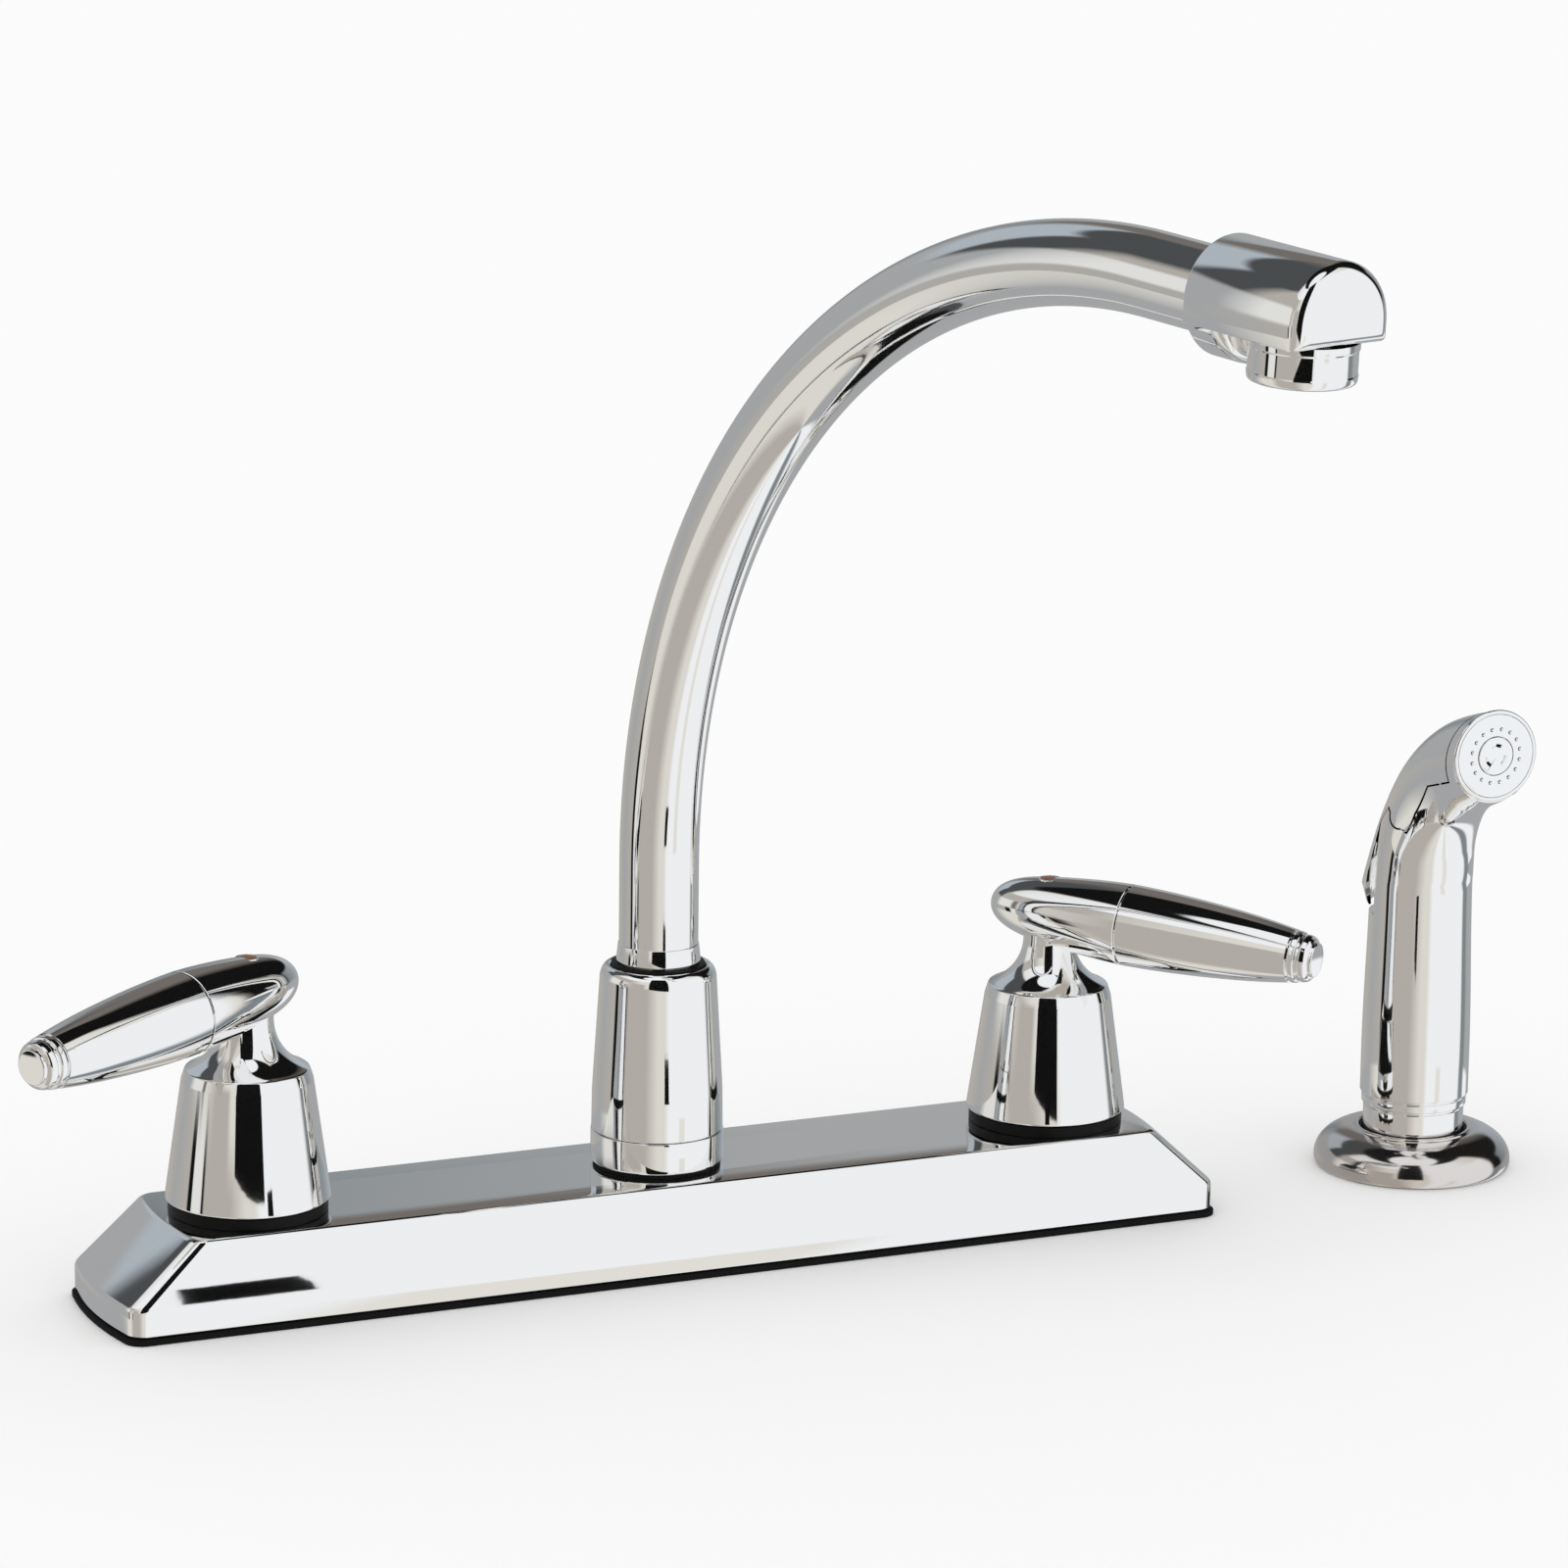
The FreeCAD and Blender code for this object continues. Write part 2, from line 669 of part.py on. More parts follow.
def lever_radius(place):
    """The torpedo's radius along its axis: a smooth belly that is fattest at the joint line."""
    if place <= lever_joint:
        reach = (lever_joint - place) / lever_joint
        return lever_belly - (lever_belly - lever_hub_radius) * reach ** 1.6
    reach = (place - lever_joint) / (lever_mid - lever_joint)
    return lever_belly - (lever_belly - lever_mid_radius) * reach ** 1.8


def lever_curve(places):
    """A smooth outline edge through the torpedo's radii at some places along its axis."""
    curve = Part.BSplineCurve()
    curve.interpolate([point(lever_radius(place), 0, place) for place in places])
    return curve.toShape()


def turned_wire(edges):
    return Part.Face(Part.Wire(edges)).revolve(point(0, 0, 0), point(0, 0, 1), 360)


def segment(start, end):
    return Part.LineSegment(point(start[0], 0, start[1]), point(end[0], 0, end[1])).toShape()


def lever_root(place):
    """The part of the torpedo that is cast with the bell, with the spigot that carries the grip."""
    nose = -lever_back
    shoulder = nose + lever_back_radius
    bulge = math.cos(math.radians(45)) * lever_back_radius
    dome = Part.Arc(point(0, 0, nose), point(bulge, 0, shoulder - bulge),
                    point(lever_back_radius, 0, shoulder))
    cheek = Part.BSplineCurve()
    cheek.interpolate([point(lever_back_radius, 0, shoulder),
                       point((lever_back_radius + lever_hub_radius) / 2 + lever_cheek, 0,
                             shoulder / 2),
                       point(lever_hub_radius, 0, 0)])
    edge_end = lever_joint - lever_joint_gap / 2
    steps = [edge_end * step / 4 for step in range(5)]
    step_radius = lever_belly - lever_joint_depth
    grip_start = edge_end + lever_joint_gap
    spigot_end = lever_cap_start - cap_plug
    edges = [dome.toShape(), cheek.toShape(), lever_curve(steps),
             segment((lever_radius(edge_end), edge_end), (step_radius, edge_end)),
             segment((step_radius, edge_end), (step_radius, grip_start)),
             segment((step_radius, grip_start), (lever_spigot_radius, grip_start)),
             segment((lever_spigot_radius, grip_start), (lever_spigot_radius, spigot_end)),
             segment((lever_spigot_radius, spigot_end), (0, spigot_end)),
             segment((0, spigot_end), (0, nose))]
    root = turned_wire(edges)
    root.Placement = place
    return root


def handle(x, angle, stem):
    body = joined([bell_blank(x), lever_root(lever_frame(x, angle))])
    body = body.cut(stem)
    body = body.cut(rod(handle_screw_radius, stem_top, lever_top, x))
    body = body.cut(rod(handle_screw_head, screw_head_low, recess_floor, x))
    return body.cut(rod(index_recess_radius, recess_floor, lever_top + lever_cheek, x))


def handle_screw(x):
    low = stem_top - stem_rise - bell_roof + screw_end_gap
    shaft = rod(handle_screw_radius, low, screw_head_low, x)
    head = rod(handle_screw_head, screw_head_low, recess_floor, x)
    slot = hexagon(screw_socket, screw_head_low + screw_socket_floor, recess_floor, x)
    return joined([shaft, head]).cut(slot)


def index_button(x):
    high = recess_floor + index_button_height
    outline = [(0, recess_floor), (index_recess_radius, recess_floor),
               (index_recess_radius, high - index_button_bevel),
               (index_recess_radius - index_button_bevel, high), (0, high)]
    return turned(outline, x)


def lever_grip(x, angle):
    """Hollow sleeve over the spigot, with its flats left to the cap."""
    start = lever_joint + lever_joint_gap / 2
    steps = [start + (lever_mid - start) * step / 4 for step in range(5)]
    tail = Part.BSplineCurve()
    slope = point(lever_radius(lever_mid) - lever_radius(lever_mid - 1), 0, 1)
    tail.interpolate([point(lever_mid_radius, 0, lever_mid),
                      point(lever_cap_radius, 0, lever_cap_start)],
                     InitialTangent=slope, FinalTangent=point(-cap_taper, 0, 1))
    edges = [lever_curve(steps), tail.toShape(),
             segment((lever_cap_radius, lever_cap_start), (lever_spigot_radius, lever_cap_start)),
             segment((lever_spigot_radius, lever_cap_start), (lever_spigot_radius, start)),
             segment((lever_spigot_radius, start), (lever_radius(start), start))]
    sleeve_solid = turned_wire(edges)
    sleeve_solid.Placement = lever_frame(x, angle)
    return sleeve_solid


def lever_cap(x, angle):
    """Stepped end cap: a band, a rounded ring and a small round face, on a plug in the sleeve."""
    start = lever_cap_start
    plug = start - cap_plug
    neck = lever_cap_radius - cap_step
    band_start = start + cap_neck
    band_end = band_start + cap_band
    band_radius = lever_cap_radius - cap_taper * (band_end - start)
    groove = band_radius - cap_step
    ring_start = band_end + cap_groove
    ring_end = lever_tip - lever_button_rise
    bulge = cap_bevel * (1 - math.cos(math.pi / 4))
    outline = [(0, plug), (lever_spigot_radius, plug), (lever_spigot_radius, start),
               (neck, start), (neck, band_start),
               (lever_cap_radius - cap_taper * (band_start - start), band_start),
               (band_radius, band_end), (groove, band_end + cap_bevel), (groove, ring_start),
               (groove - bulge, (ring_start + ring_end) / 2, lever_button_radius + cap_bevel,
                ring_end),
               (lever_button_radius, ring_end), (lever_button_radius, lever_tip - cap_bevel),
               (lever_button_radius - bulge, lever_tip - bulge, lever_button_radius - cap_bevel,
                lever_tip),
               (0, lever_tip)]
    cap = turned(outline)
    cap.Placement = lever_frame(x, angle)
    return cap


# ---- spout ----------------------------------------------------------------------------------

def hub_seal():
    return sleeve(base_ring_radius - hub_seal_inset, neck_radius, plate_height, base_ring_bottom)


def spout_base_ring():
    outline = [(neck_radius, base_ring_bottom),
               (base_ring_radius - base_ring_bevel, base_ring_bottom),
               (base_ring_radius, base_ring_bottom + base_ring_bevel),
               (base_ring_radius, hub_bottom - hub_seam),
               (base_ring_radius - hub_seam, hub_bottom), (neck_radius, hub_bottom)]
    return turned(outline)


def spout_hub():
    """Tapered sleeve nut: it screws on the centre neck and keeps the foot of the spout down."""
    bearing_bore = tube_radius + running_clearance + bearing_wall
    side_top = hub_top - hub_shoulder_height
    shoulder = hub_shoulder_height
    turn = math.radians(45)
    across = hub_head_radius - hub_shoulder_radius
    bulge = (hub_shoulder_radius + across * math.cos(turn), side_top + shoulder * math.sin(turn))
    outline = [(neck_radius, hub_bottom), (hub_foot_radius - hub_seam, hub_bottom),
               (hub_foot_radius, hub_bottom + hub_seam), (hub_waist_radius, hub_bottom + hub_waist),
               (hub_head_radius, side_top), (bulge[0], bulge[1], hub_shoulder_radius, hub_top),
               (bearing_bore, hub_top), (bearing_bore, hub_bore_top), (neck_radius, hub_bore_top)]
    return turned(outline)


def spout_bearing():
    """Black plastic bearing: a thin sleeve in the mouth of the hub with a lip that shows."""
    inner = tube_radius + running_clearance
    outline = [(inner, hub_bore_top), (inner + bearing_wall, hub_bore_top),
               (inner + bearing_wall, hub_top), (bearing_lip_radius, hub_top),
               (bearing_lip_radius, hub_top + bearing_lip), (inner, hub_top + bearing_lip)]
    return turned(outline)


def groove_heights():
    return [foot_floor + ring_place, foot_floor + ring_place + ring_pitch]


def spout_foot():
    """Brass foot brazed to the tube: a sleeve with two O-ring grooves and a flange."""
    flange_low = centre_neck_top + turning_gap
    tube_end = flange_top - foot_seat
    outline = [(foot_bore, foot_floor + turning_gap), (foot_radius, foot_floor + turning_gap),
               (foot_radius, flange_low), (foot_flange_radius, flange_low),
               (foot_flange_radius, flange_top), (tube_radius, flange_top),
               (tube_radius, tube_end), (foot_bore, tube_end)]
    foot = turned(outline)
    for height in groove_heights():
        foot = foot.cut(sleeve(foot_radius, foot_radius - 2 * ring_wire, height - ring_wire,
                               height + ring_wire))
    return foot


def spout_o_rings():
    rings = []
    for height in groove_heights():
        rings.append(Part.makeTorus(foot_radius - ring_wire, ring_wire, point(0, 0, height)))
    return Part.makeCompound(rings)


def spout_turn(shape):
    shape.rotate(point(0, 0, 0), point(0, 0, 1), spout_azimuth)
    return shape


def arch_end():
    """Height and reach of the tube's far end, where the head takes it."""
    turn = math.radians(arch_turn)
    reach = arch_radius * (1 - math.cos(turn)) + arch_run * math.sin(turn)
    height = arch_start + arch_radius * math.sin(turn) + arch_run * math.cos(turn)
    return reach, height


def bent_bar(radius, low, run):
    """A round bar along the spout's line: straight up, round the arch and on by a short run."""
    turn = math.radians(arch_turn)
    riser = rod(radius, low, arch_start)
    disc = Part.Face(Part.Wire([Part.makeCircle(radius, point(0, 0, arch_start))]))
    arch = disc.revolve(point(0, -arch_radius, arch_start), point(1, 0, 0), arch_turn)
    reach = arch_radius * (1 - math.cos(turn))
    height = arch_start + arch_radius * math.sin(turn)
    ahead = point(0, -math.sin(turn), math.cos(turn))
    tail = Part.makeCylinder(radius, run, point(0, -reach, height), ahead)
    return riser.fuse(arch).fuse(tail)


def spout_tube():
    low = flange_top - foot_seat
    run = arch_run + head_start + tube_depth
    tube = bent_bar(tube_radius, low, run).cut(bent_bar(tube_radius - tube_wall, low, run))
    return spout_turn(tube)


def tube_collar():
    low = hub_top + bearing_lip + turning_gap
    high = low + collar_height
    outline = [(tube_radius, low), (collar_radius - collar_bevel, low),
               (collar_radius, low + collar_bevel), (collar_radius, high - collar_bevel),
               (collar_radius - collar_bevel, high), (tube_radius, high)]
    return turned(outline)


def diverter_piston():
    """Spool that sends the water to the side spray when its lever is pressed."""
    low = valve_floor + diverter_rest
    high = low + diverter_length
    outline = [(0, low), (diverter_radius, low), (diverter_radius, low + diverter_disc),
               (diverter_stem, low + diverter_disc), (diverter_stem, high - diverter_disc),
               (diverter_radius, high - diverter_disc), (diverter_radius, high), (0, high)]
    return turned(outline)


# ---- spout head and aerator -----------------------------------------------------------------
# The head is drawn with its length along +Y and the tube's line through the origin, and is then
# turned over to the end of the arch.

def along_bar(radius, start, end):
    return Part.makeCylinder(radius, end - start, point(0, start, 0), point(0, 1, 0))


def place_at_arch(shape):
    reach, height = arch_end()
    shape.rotate(point(0, 0, 0), point(0, 0, 1), 180)
    shape.rotate(point(0, 0, 0), point(1, 0, 0), arch_turn - 90)
    shape.translate(point(0, -reach, height))
    return spout_turn(shape)


def drop_rod(radius, low, high):
    """A cylinder on the aerator's axis, between two depths under the tube's line."""
    return Part.makeCylinder(radius, high - low, point(0, aerator_place, low))


def spout_head():
    """Hood over the end of the tube: domed top, upright cheeks and a flat underside."""
    low = -head_below
    left = point(-head_radius, head_start, 0)
    crown = point(0, head_start, head_radius)
    right = point(head_radius, head_start, 0)
    edges = [Part.Arc(left, crown, right).toShape(),
             Part.LineSegment(right, point(head_radius, head_start, low)).toShape(),
             Part.LineSegment(point(head_radius, head_start, low),
                              point(-head_radius, head_start, low)).toShape(),
             Part.LineSegment(point(-head_radius, head_start, low), left).toShape()]
    hood = Part.Face(Part.Wire(edges)).extrude(point(0, head_length, 0))
    nose = head_start + head_length
    rim = [edge for edge in hood.Edges if edge.BoundBox.YMin > nose - touch]
    hood = hood.makeFillet(head_nose_radius, rim)
    boss_end = head_start + socket_length
    boss = along_bar(socket_radius, head_start, boss_end)
    end_edges = [edge for edge in boss.Edges if edge.BoundBox.YMin > boss_end - touch]
    boss = boss.makeFillet(socket_end_radius, end_edges)
    head = joined([hood, boss])
    head = head.cut(along_bar(tube_radius, head_start, head_start + tube_depth))
    head = head.cut(along_bar(tube_radius - tube_wall, head_start, aerator_place))
    return place_at_arch(head.cut(drop_rod(aerator_thread_radius, low, head_chamber)))


def head_seal():
    """Dark seal in the mouth of the head, round the tube."""
    start = head_start - head_seal_length
    ring = along_bar(tube_radius + head_seal_wall, start, head_start)
    return place_at_arch(ring.cut(along_bar(tube_radius, start, head_start)))


def aerator_housing():
    """Chrome cup that screws into the head, with shallow grips and a rounded lip."""
    inner = aerator_radius - aerator_wall
    thread_top = -head_below + aerator_thread
    bore = aerator_thread_radius - aerator_wall
    outline = [(inner - aerator_lip, aerator_low), (inner + aerator_bevel, aerator_low),
               (aerator_radius - aerator_bevel, aerator_low + aerator_bevel,
                aerator_radius, aerator_low + aerator_wall),
               (aerator_radius, -head_below), (aerator_thread_radius, -head_below),
               (aerator_thread_radius, thread_top), (bore, thread_top),
               (bore, aerator_low + insert_recess),
               (inner - aerator_lip, aerator_low + aerator_lip_height)]
    cup = turned(outline)
    for number in range(aerator_grips):
        notch = Part.makeCylinder(grip_depth, aerator_drop - grip_low - grip_margin,
                                  point(aerator_radius, 0, aerator_low + grip_low))
        notch.rotate(point(0, 0, 0), point(0, 0, 1), 360 * number / aerator_grips)
        cup = cup.cut(notch)
    cup.translate(point(0, aerator_place, 0))
    return place_at_arch(cup)


def aerator_insert():
    """Plastic insert with a strainer of crossing bars across its mouth."""
    radius = aerator_thread_radius - aerator_wall
    insert = drop_rod(radius, insert_low, insert_low + insert_height)
    insert = insert.cut(drop_rod(radius - insert_wall, insert_low, insert_low + insert_height))
    reach = radius - insert_wall / 2
    spacing = 2 * reach / (strainer_bars + 1)
    for number in range(strainer_bars):
        offset = (number + 1) * spacing - reach
        width = 2 * math.sqrt(reach ** 2 - offset ** 2)
        for crossing in (0, 90):
            bar = Part.makeBox(width, strainer_bar_width, strainer_bar_height,
                               point(-width / 2, offset - strainer_bar_width / 2, 0))
            bar.rotate(point(0, 0, 0), point(0, 0, 1), crossing)
            bar.translate(point(0, aerator_place, insert_low + strainer_recess))
            insert = insert.fuse(bar)
    return place_at_arch(insert.removeSplitter())


def aerator_seal():
    radius = aerator_thread_radius - aerator_wall
    low = insert_low + insert_height
    ring = drop_rod(radius, low, low + aerator_seal_height)
    inner = radius - aerator_seal_width
    return place_at_arch(ring.cut(drop_rod(inner, low, low + aerator_seal_height)))


# ---- side spray -----------------------------------------------------------------------------
# The spray is drawn with its grip on the Z axis, spraying toward -Y, and moved to its hole.

def to_spray_hole(shape):
    shape.translate(point(spray_x, 0, 0))
    return shape


def spray_guide():
    """Domed deck flange with a threaded shank below it."""
    relief_top = -(deck_thickness + nut_thread)
    relief_low = relief_top - relief_width
    relief = guide_shank - relief_depth
    across = guide_flange_radius - guide_lip_radius
    rise = guide_height - guide_flange_edge
    slant = math.hypot(across, rise)
    bow = (guide_lip_radius + across / 2 + guide_bulge * rise / slant,
           guide_flange_edge + rise / 2 + guide_bulge * across / slant)
    outline = [(liner_outer, -guide_reach), (guide_shank, -guide_reach), (guide_shank, relief_low),
               (relief, relief_low), (relief, relief_top), (guide_shank, relief_top),
               (guide_shank, 0), (guide_flange_radius, 0),
               (guide_flange_radius, guide_flange_edge),
               (bow[0], bow[1], guide_lip_radius, guide_height),
               (liner_outer, guide_height)]
    return to_spray_hole(turned(outline))


def guide_liner():
    """Black liner that the spray body drops into, with a ledge that it rests on."""
    ledge = spray_seat - turning_gap
    inner = coupling_radius + liner_bore_gap
    top = guide_height - liner_recess
    outline = [(inner, liner_low), (liner_outer, liner_low), (liner_outer, top),
               (liner_inner, top), (liner_inner, ledge), (inner, ledge)]
    return to_spray_hole(turned(outline))


def spray_locknut():
    top = -deck_thickness
    low = top - nut_thread
    nut = hexagon(nut_across_flats, low, top - nut_flange_height)
    nut = nut.common(rod(nut_across_flats / math.sqrt(3) - nut_corner_trim, low, top))
    nut = nut.fuse(rod(nut_flange_radius, top - nut_flange_height, top))
    return to_spray_hole(nut.cut(rod(guide_shank, low, top)))


def hose_coupling():
    """Swivel coupling in the bottom of the spray body; the hose goes on its lower stub."""
    low = spray_seat - coupling_below
    high = spray_seat + coupling_above
    outline = [(coupling_bore, low - coupling_stub), (coupling_stub_radius, low - coupling_stub),
               (coupling_stub_radius, low), (coupling_radius, low),
               (coupling_radius, spray_seat - turning_gap),
               (coupling_radius - coupling_step, spray_seat - turning_gap),
               (coupling_radius - coupling_step, high), (coupling_bore, high)]
    return to_spray_hole(turned(outline))


def coupling_washer():
    low = spray_seat + coupling_above
    outer = coupling_radius - coupling_step - coupling_washer_gap
    return to_spray_hole(sleeve(outer, coupling_bore, low, low + coupling_washer_height))


def neck_circle(section, radius):
    forward, height, tilt, shell = section
    circle = Part.makeCircle(radius)
    circle.rotate(point(0, 0, 0), point(1, 0, 0), tilt)
    circle.translate(point(0, -forward, height))
    return Part.Wire([circle])


def neck_form(radii):
    """A smooth bent form through the neck's round sections, at these radii."""
    rings = [neck_circle(section, radius) for section, radius in zip(neck_sections, radii)]
    return Part.makeLoft(rings, True, False)


def side_prism(corners, grow):
    """A prism across the spray, drawn in side view as (distance behind the grip, height)."""
    outline = [point(-side_reach, y, z) for y, z in corners]
    outline.append(outline[0])
    face = Part.Face(Part.makePolygon(outline))
    if grow > 0:
        face = Part.Face(face.makeOffset2D(grow).OuterWire)
    return face.extrude(point(2 * side_reach, 0, 0))


def thumb_region(grow, end):
    """The part of the head that belongs to the thumb lever, seen from the side."""
    front = -head_front + face_ring_width
    corner = pivot_height - hinge_drop
    top = head_height + side_reach
    back = head_front
    corners = [(thumb_edge + thumb_edge_lean, end), (thumb_edge, corner),
               (thumb_edge - edge_step, corner + edge_step_rise),
               (-pivot_forward - hinge_front, corner - hinge_front_drop),
               (-pivot_forward - hinge_reach, corner + hinge_reach_rise),
               (-head_front + cheek_back, head_height - cheek_low),
               (front, head_height - ring_low), (front, top), (back, top), (back, end)]
    return side_prism(corners, grow)


def spray_grip():
    """Turned grip with two grooves and a slight waist."""
    low = spray_seat
    upper_groove = groove_height + groove_pitch
    outline = [(0, low), (spray_radius - spray_edge, low), (spray_radius, low + spray_edge)]
    radius = spray_radius
    for height, above in ((groove_height, spray_radius + spray_band),
                          (upper_groove, spray_shoulder)):
        outline.append((radius, height - groove_width / 2))
        outline.append((radius - groove_depth, height - groove_width / 4))
        outline.append((radius - groove_depth, height + groove_width / 4))
        outline.append((above, height + groove_width / 2))
        radius = above
    outline.append((spray_shoulder, grip_full_height))
    outline.append(((spray_shoulder + grip_waist_radius) / 2, (grip_full_height + grip_waist) / 2,
                    grip_waist_radius, grip_waist, neck_foot_radius, neck_foot))
    outline.append((0, neck_foot))
    return turned(outline)


def across_rod(radius, x_reach):
    """A cylinder across the head, on the axis of the thumb lever."""
    start = point(-x_reach, -pivot_forward, pivot_height)
    return Part.makeCylinder(radius, 2 * x_reach, start, point(1, 0, 0))


def back_rod(radius, start, length, height):
    """A cylinder that lies front to back; start is measured behind the grip's axis."""
    return Part.makeCylinder(radius, length, point(0, start, height), point(0, 1, 0))


def spray_neck():
    """Inner neck and front ring of the head, with the valve chamber and the throat."""
    notch = thumb_end - press_room
    region = thumb_region(lever_clearance, notch)
    edge = thumb_edge - lever_clearance
    corner = pivot_height - hinge_drop
    slit = side_prism([(edge, notch), (edge, corner), (edge + slit_width, corner),
                       (edge + slit_width, notch)], 0)
    shell = neck_form(shell_radii).cut(region).cut(slit)
    shell = shell.cut(across_rod(ear_radius + lever_clearance, side_reach))
    neck = shell.fuse(neck_form(core_radii))
    neck = neck.cut(across_rod(pin_radius + running_clearance, side_reach))
    neck = neck.cut(back_rod(face_radius, -head_front - overcut, face_thickness + overcut,
                             head_height))
    neck = neck.cut(back_rod(nozzle_radius - nozzle_step, -head_front, throat_length, head_height))
    neck = neck.cut(back_rod(valve_radius, -valve_length / 2, valve_length, plunger_height))
    neck = neck.cut(back_rod(plunger_radius + running_clearance, 0, side_reach, plunger_height))
    return neck.cut(rod(spray_bore, neck_foot, plunger_height - valve_radius))


def spray_body():
    """Grip and neck in one moulding, hollow for the water."""
    seat_top = spray_seat + coupling_above + coupling_washer_height
    socket = coupling_radius - coupling_step + running_clearance
    grip = spray_grip().cut(rod(socket, spray_seat, seat_top))
    grip = grip.cut(rod(spray_bore, spray_seat, neck_foot))
    return to_spray_hole(grip.fuse(spray_neck()))


def thumb_form(wall):
    """Outside of the thumb lever, or its hollow when a wall is taken off the radii."""
    tip = neck_circle((0, thumb_tip_height, 0, 0), thumb_tip_radius - wall)
    if wall > 0:
        low = neck_circle((0, thumb_end - overcut, 0, 0), thumb_tip_radius - wall)
    else:
        low = neck_circle((0, thumb_end, 0, 0), thumb_end_radius)
    skirt = Part.makeLoft([low, tip], True, True)
    rings = [neck_circle(section, section[3] - wall) for section in neck_sections[2:]]
    return skirt.fuse(Part.makeLoft([tip] + rings, True, False))


def thumb_lever():
    """Shell over the back and top of the head, with ears at the pivot and a proud tip."""
    form = thumb_form(0)
    hole = across_rod(pin_radius, side_reach)
    shell = form.cut(thumb_form(lever_wall)).common(thumb_region(0, thumb_end)).cut(hole)
    ears = across_rod(ear_radius, side_reach).cut(hole)
    ears = ears.common(form).cut(neck_form([radius + lever_clearance for radius in core_radii]))
    lever = shell
    for ear in ears.Solids:
        lever = lever.fuse(ear)
    return to_spray_hole(lever)


def lever_pin():
    return to_spray_hole(across_rod(pin_radius, bend_radius_one - pin_inset))


def valve_plunger():
    """Push rod of the spray valve: a sealing head in the chamber and a stem for the lever."""
    seat = valve_length / 2 - plunger_rest
    start = seat - plunger_head
    height = plunger_height + plunger_radius
    line = Part.LineSegment(point(0, seat, height), point(0, side_reach, height)).toShape()
    wall = max(corner.Y for corner in line.common(thumb_form(lever_wall)).Vertexes)
    head = back_rod(valve_radius - plunger_head_gap, start, plunger_head, plunger_height)
    stem = back_rod(plunger_radius, start, wall - plunger_gap - start, plunger_height)
    return to_spray_hole(head.fuse(stem))


def spray_face():
    """Front disc with a ring of small holes round the nozzle."""
    depth = face_thickness - face_gap
    face = back_rod(face_radius, -head_front, depth, head_height)
    face = face.cut(back_rod(nozzle_radius, -head_front, depth, head_height))
    for number in range(face_holes):
        turn = math.radians(360 * (number + 0.5) / face_holes)
        x = face_ring_radius * math.cos(turn)
        z = head_height + face_ring_radius * math.sin(turn)
        hole = Part.makeCylinder(face_hole_radius, depth, point(x, -head_front, z), point(0, 1, 0))
        face = face.cut(hole)
    return to_spray_hole(face)


def spray_nozzle():
    """Middle of the face: a plug with curved slots, its stem in the throat of the head."""
    depth = face_thickness - face_gap
    disc = back_rod(nozzle_radius, -head_front, depth, head_height)
    stem = back_rod(nozzle_radius - nozzle_step, -head_front + depth, nozzle_length, head_height)
    nozzle = joined([disc, stem])
    front = point(0, -head_front, head_height)
    for number in range(nozzle_slots):
        slot = Part.makeCylinder(slot_outer, slot_depth, front, point(0, 1, 0), slot_angle)
        slot = slot.cut(Part.makeCylinder(slot_inner, slot_depth, front, point(0, 1, 0)))
        slot.rotate(front, point(0, 1, 0), 360 * number / nozzle_slots)
        nozzle = nozzle.cut(slot)
    return to_spray_hole(nozzle)


# ---- write every node -----------------------------------------------------------------------

os.makedirs("parts", exist_ok=True)
save("deck_plate", deck_plate())
save("base_gasket", base_gasket())
save("waterway_body", waterway_body())
save("spray_nipple", spray_nipple())
for side, x, angle in (("left", -hole_pitch, 180 + left_angle),
                       ("right", hole_pitch, -right_angle)):
    save("inlet_shank_" + side, inlet_shank(x))
    save("deck_washer_" + side, deck_washer(x, shank_radius))
    save("locknut_" + side, locknut(x, shank_radius, nut_across_flats, nut_flange_radius))
    save("seat_seal_" + side, seat_seal(x))
    save("fixed_disc_" + side, fixed_disc(x))
    save("cartridge_shell_" + side, cartridge_shell(x))
    stem = valve_stem(x)
    save("valve_stem_" + side, stem)
    save("bonnet_nut_" + side, bonnet_nut(x))
    save("glide_ring_" + side, glide_ring(x))
    save("handle_" + side, handle(x, angle, splined_rod(stem_radius, 0, stem_top, x)))
    save("handle_screw_" + side, handle_screw(x))
    save("index_button_" + side, index_button(x))
    save("lever_grip_" + side, lever_grip(x, angle))
    save("lever_cap_" + side, lever_cap(x, angle))
save("hub_seal", hub_seal())
save("spout_base_ring", spout_base_ring())
save("spout_hub", spout_hub())
save("spout_bearing", spout_bearing())
save("spout_foot", spout_foot())
save("spout_o_rings", spout_o_rings())
save("spout_tube", spout_tube())
save("tube_collar", tube_collar())
save("diverter_piston", diverter_piston())
save("spout_head", spout_head())
save("head_seal", head_seal())
save("aerator_housing", aerator_housing())
save("aerator_insert", aerator_insert())
save("aerator_seal", aerator_seal())
save("spray_guide", spray_guide())
save("guide_liner", guide_liner())
save("spray_locknut", spray_locknut())
save("hose_coupling", hose_coupling())
save("coupling_washer", coupling_washer())
save("spray_body", spray_body())
save("thumb_lever", thumb_lever())
save("lever_pin", lever_pin())
save("valve_plunger", valve_plunger())
save("spray_face", spray_face())
save("spray_nozzle", spray_nozzle())
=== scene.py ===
import math

import bmesh
import bpy
from mathutils import Matrix, Vector


